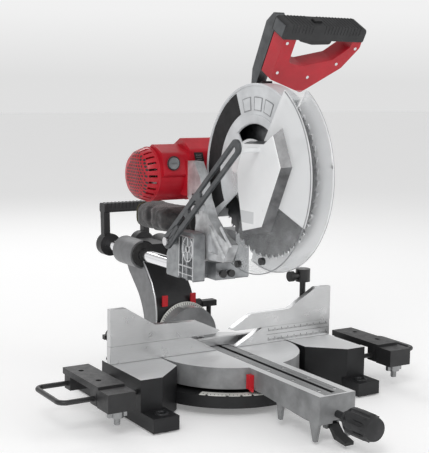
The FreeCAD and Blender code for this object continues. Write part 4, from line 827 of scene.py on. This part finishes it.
def bagRow(shell, middle, half, u):
    # one ring of the bag, u running from the boot to the far end
    taper = min(1, bag["neck"] + 0.62 * math.sin(min(u / bag["neckLength"], 1) * math.pi / 2))
    cap = max(0.0, 1 - ((u - 0.5) * 2) ** 10) ** 0.5
    across, along = bag["noiseScale"]
    row = []
    for j in range(bag["around"]):
        turn = 2 * math.pi * j / bag["around"]
        c, s = math.cos(turn), math.sin(turn)
        x, z = bulge(c, 2 / bag["square"]), bulge(s, 2 / bag["square"])
        crease = noise.fractal(Vector((x * across, u * along, z * across)), 0.9, 2.1, 3) * bag["crease"]
        fold = bag["fold"] * math.sin(turn * 9 + u * 7) * max(0, 1 - u / 0.4)
        place = (u - bag["dentPlace"] - 0.08 * c) / bag["dentWidth"]
        dent = bag["dent"] * math.exp(-place ** 2) * (0.5 - 0.5 * c)
        swell = min(1.0, (0.95 + crease + fold - dent)) * cap * taper
        sag = -bag["sag"] * math.sin(math.pi * u) * half.z if s > 0 else 0
        row.append(shell.verts.new((middle.x + x * half.x * swell, bag["low"][1] + u * 2 * half.y,
                                    middle.z + z * half.z * swell + sag)))
    return row


def makeBag():
    # sewn cloth bag: full in the middle, gathered at the boot, sagging and creased
    low, high = Vector(bag["low"]), Vector(bag["high"])
    middle, half = (low + high) / 2, (high - low) / 2
    shell = bmesh.new()
    rows = [bagRow(shell, middle, half, i / bag["along"]) for i in range(bag["along"] + 1)]
    for first, second in zip(rows, rows[1:]):
        for j in range(bag["around"]):
            after = (j + 1) % bag["around"]
            shell.faces.new((first[j], first[after], second[after], second[j]))
    bmesh.ops.remove_doubles(shell, verts=shell.verts, dist=0.05)
    bmesh.ops.recalc_face_normals(shell, faces=shell.faces)
    bmesh.ops.scale(shell, vec=(mm, mm, mm), verts=shell.verts)
    data = bpy.data.meshes.new("dust_bag_cloth")
    shell.to_mesh(data)
    shell.free()
    for face in data.polygons:
        face.use_smooth = True
    bagPiece = bpy.data.objects.new("dust_bag_cloth", data)
    bpy.context.scene.collection.objects.link(bagPiece)
    data.materials.append(cloth)
    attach(bagPiece, "head")
    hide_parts("dust_bag")
    cord = Builder("bag_piping", "head", pipingCloth, 0.3)
    loop = []
    for j in range(piping["around"] + 1):
        turn = 2 * math.pi * j / piping["around"]
        x, z = bulge(math.cos(turn), piping["square"]), bulge(math.sin(turn), piping["square"])
        loop.append((middle.x + x * half.x * piping["scale"], piping["y"],
                     middle.z + z * half.z * piping["scale"] * piping["drop"]))
    cord.tube(loop, piping["cord"])
    cord.done()


dressMotor()
dressGuards()
dressHandle()
dressCarriage()
dressBoot()
dressScales()
dressSupports()
dressKnobs()
makeBag()
print("fitted pieces made")


# metres and degrees from here on, the lens and its sensor in millimetres
camera = {"place": (-1.0743, -1.6831, 0.5920), "yaw": 31.8, "pitch": -7.8, "roll": 0.8,
          "lens": 85.46, "sensor": 36}


def addCamera():
    data = bpy.data.cameras.new("camera")
    data.sensor_width = camera["sensor"]
    data.lens = camera["lens"]
    view = bpy.data.objects.new("camera", data)
    bpy.context.scene.collection.objects.link(view)
    yaw, pitch, roll = (math.radians(camera[k]) for k in ("yaw", "pitch", "roll"))
    ahead = Vector((math.sin(yaw) * math.cos(pitch), math.cos(yaw) * math.cos(pitch), math.sin(pitch)))
    right = Vector((math.cos(yaw), -math.sin(yaw), 0))
    up = right.cross(ahead)
    tiltRight = right * math.cos(roll) + up * math.sin(roll)
    tiltUp = up * math.cos(roll) - right * math.sin(roll)
    turn = Matrix((tiltRight, tiltUp, -ahead)).transposed()
    view.matrix_world = Matrix.Translation(camera["place"]) @ turn.to_4x4()
    bpy.context.scene.camera = view


studio = {"floorSize": 30, "floorGlow": 0.2, "tones": [
    (0.0, 0.8), (0.5, 0.74), (0.53, 0.88), (0.62, 0.9), (0.76, 0.34), (1.0, 0.66)]}


def addStage():
    bpy.ops.mesh.primitive_plane_add(size=studio["floorSize"], location=(0, 0, 0))
    floor = bpy.context.object
    floor.name = "floor"
    paint = Paint("paleFloor")
    speckle = paint.blend(paint.grain(0.6, 3), (0.9, 0.9, 0.9), (0.93, 0.93, 0.93))
    paint.set(Base_Color=speckle, Roughness=0.95)
    paint.set(Emission_Color=(1, 1, 1), Emission_Strength=studio["floorGlow"], Specular_IOR_Level=0.1)
    floor.data.materials.append(paint.material)
    world = bpy.data.worlds.new("studio")
    bpy.context.scene.world = world
    world.use_nodes = True
    tree = world.node_tree
    place = tree.nodes.new("ShaderNodeTexCoord")
    split = tree.nodes.new("ShaderNodeSeparateXYZ")
    ramp = tree.nodes.new("ShaderNodeValToRGB")
    shift = tree.nodes.new("ShaderNodeMapRange")
    shift.inputs["From Min"].default_value = -1
    while len(ramp.color_ramp.elements) < len(studio["tones"]):
        ramp.color_ramp.elements.new(0.5)
    for element, (spot, tone) in zip(ramp.color_ramp.elements, studio["tones"]):
        element.position = spot
        element.color = (tone, tone, tone, 1)
    tree.links.new(place.outputs["Generated"], split.inputs[0])
    tree.links.new(split.outputs["Z"], shift.inputs["Value"])
    tree.links.new(shift.outputs[0], ramp.inputs[0])
    tree.links.new(ramp.outputs[0], tree.nodes["Background"].inputs[0])
    tree.nodes["Background"].inputs[1].default_value = 1.0
    bpy.context.scene.view_settings.view_transform = "Standard"


lights = {  # place, aim, size and power
    "keyLight": ((-1.6, -1.8, 2.2), (0, 0, 0.3), (1.1, 1.1), 26),
    "fillLight": ((1.8, -1.6, 1.4), (0, 0, 0.3), (1.4, 1.0), 8),
    "rimLight": ((0.4, 2.2, 1.9), (0, 0, 0.4), (1.6, 0.8), 14),
}


def addLight(name, place, aim, size, power):
    data = bpy.data.lights.new(name, "AREA")
    data.shape = "RECTANGLE"
    data.size, data.size_y = size
    data.energy = power
    lamp = bpy.data.objects.new(name, data)
    bpy.context.scene.collection.objects.link(lamp)
    lamp.location = place
    lamp.rotation_euler = (Vector(aim) - Vector(place)).to_track_quat("-Z", "Y").to_euler()


addCamera()
addStage()
for name, values in lights.items():
    addLight(name, *values)
print("stage and camera")
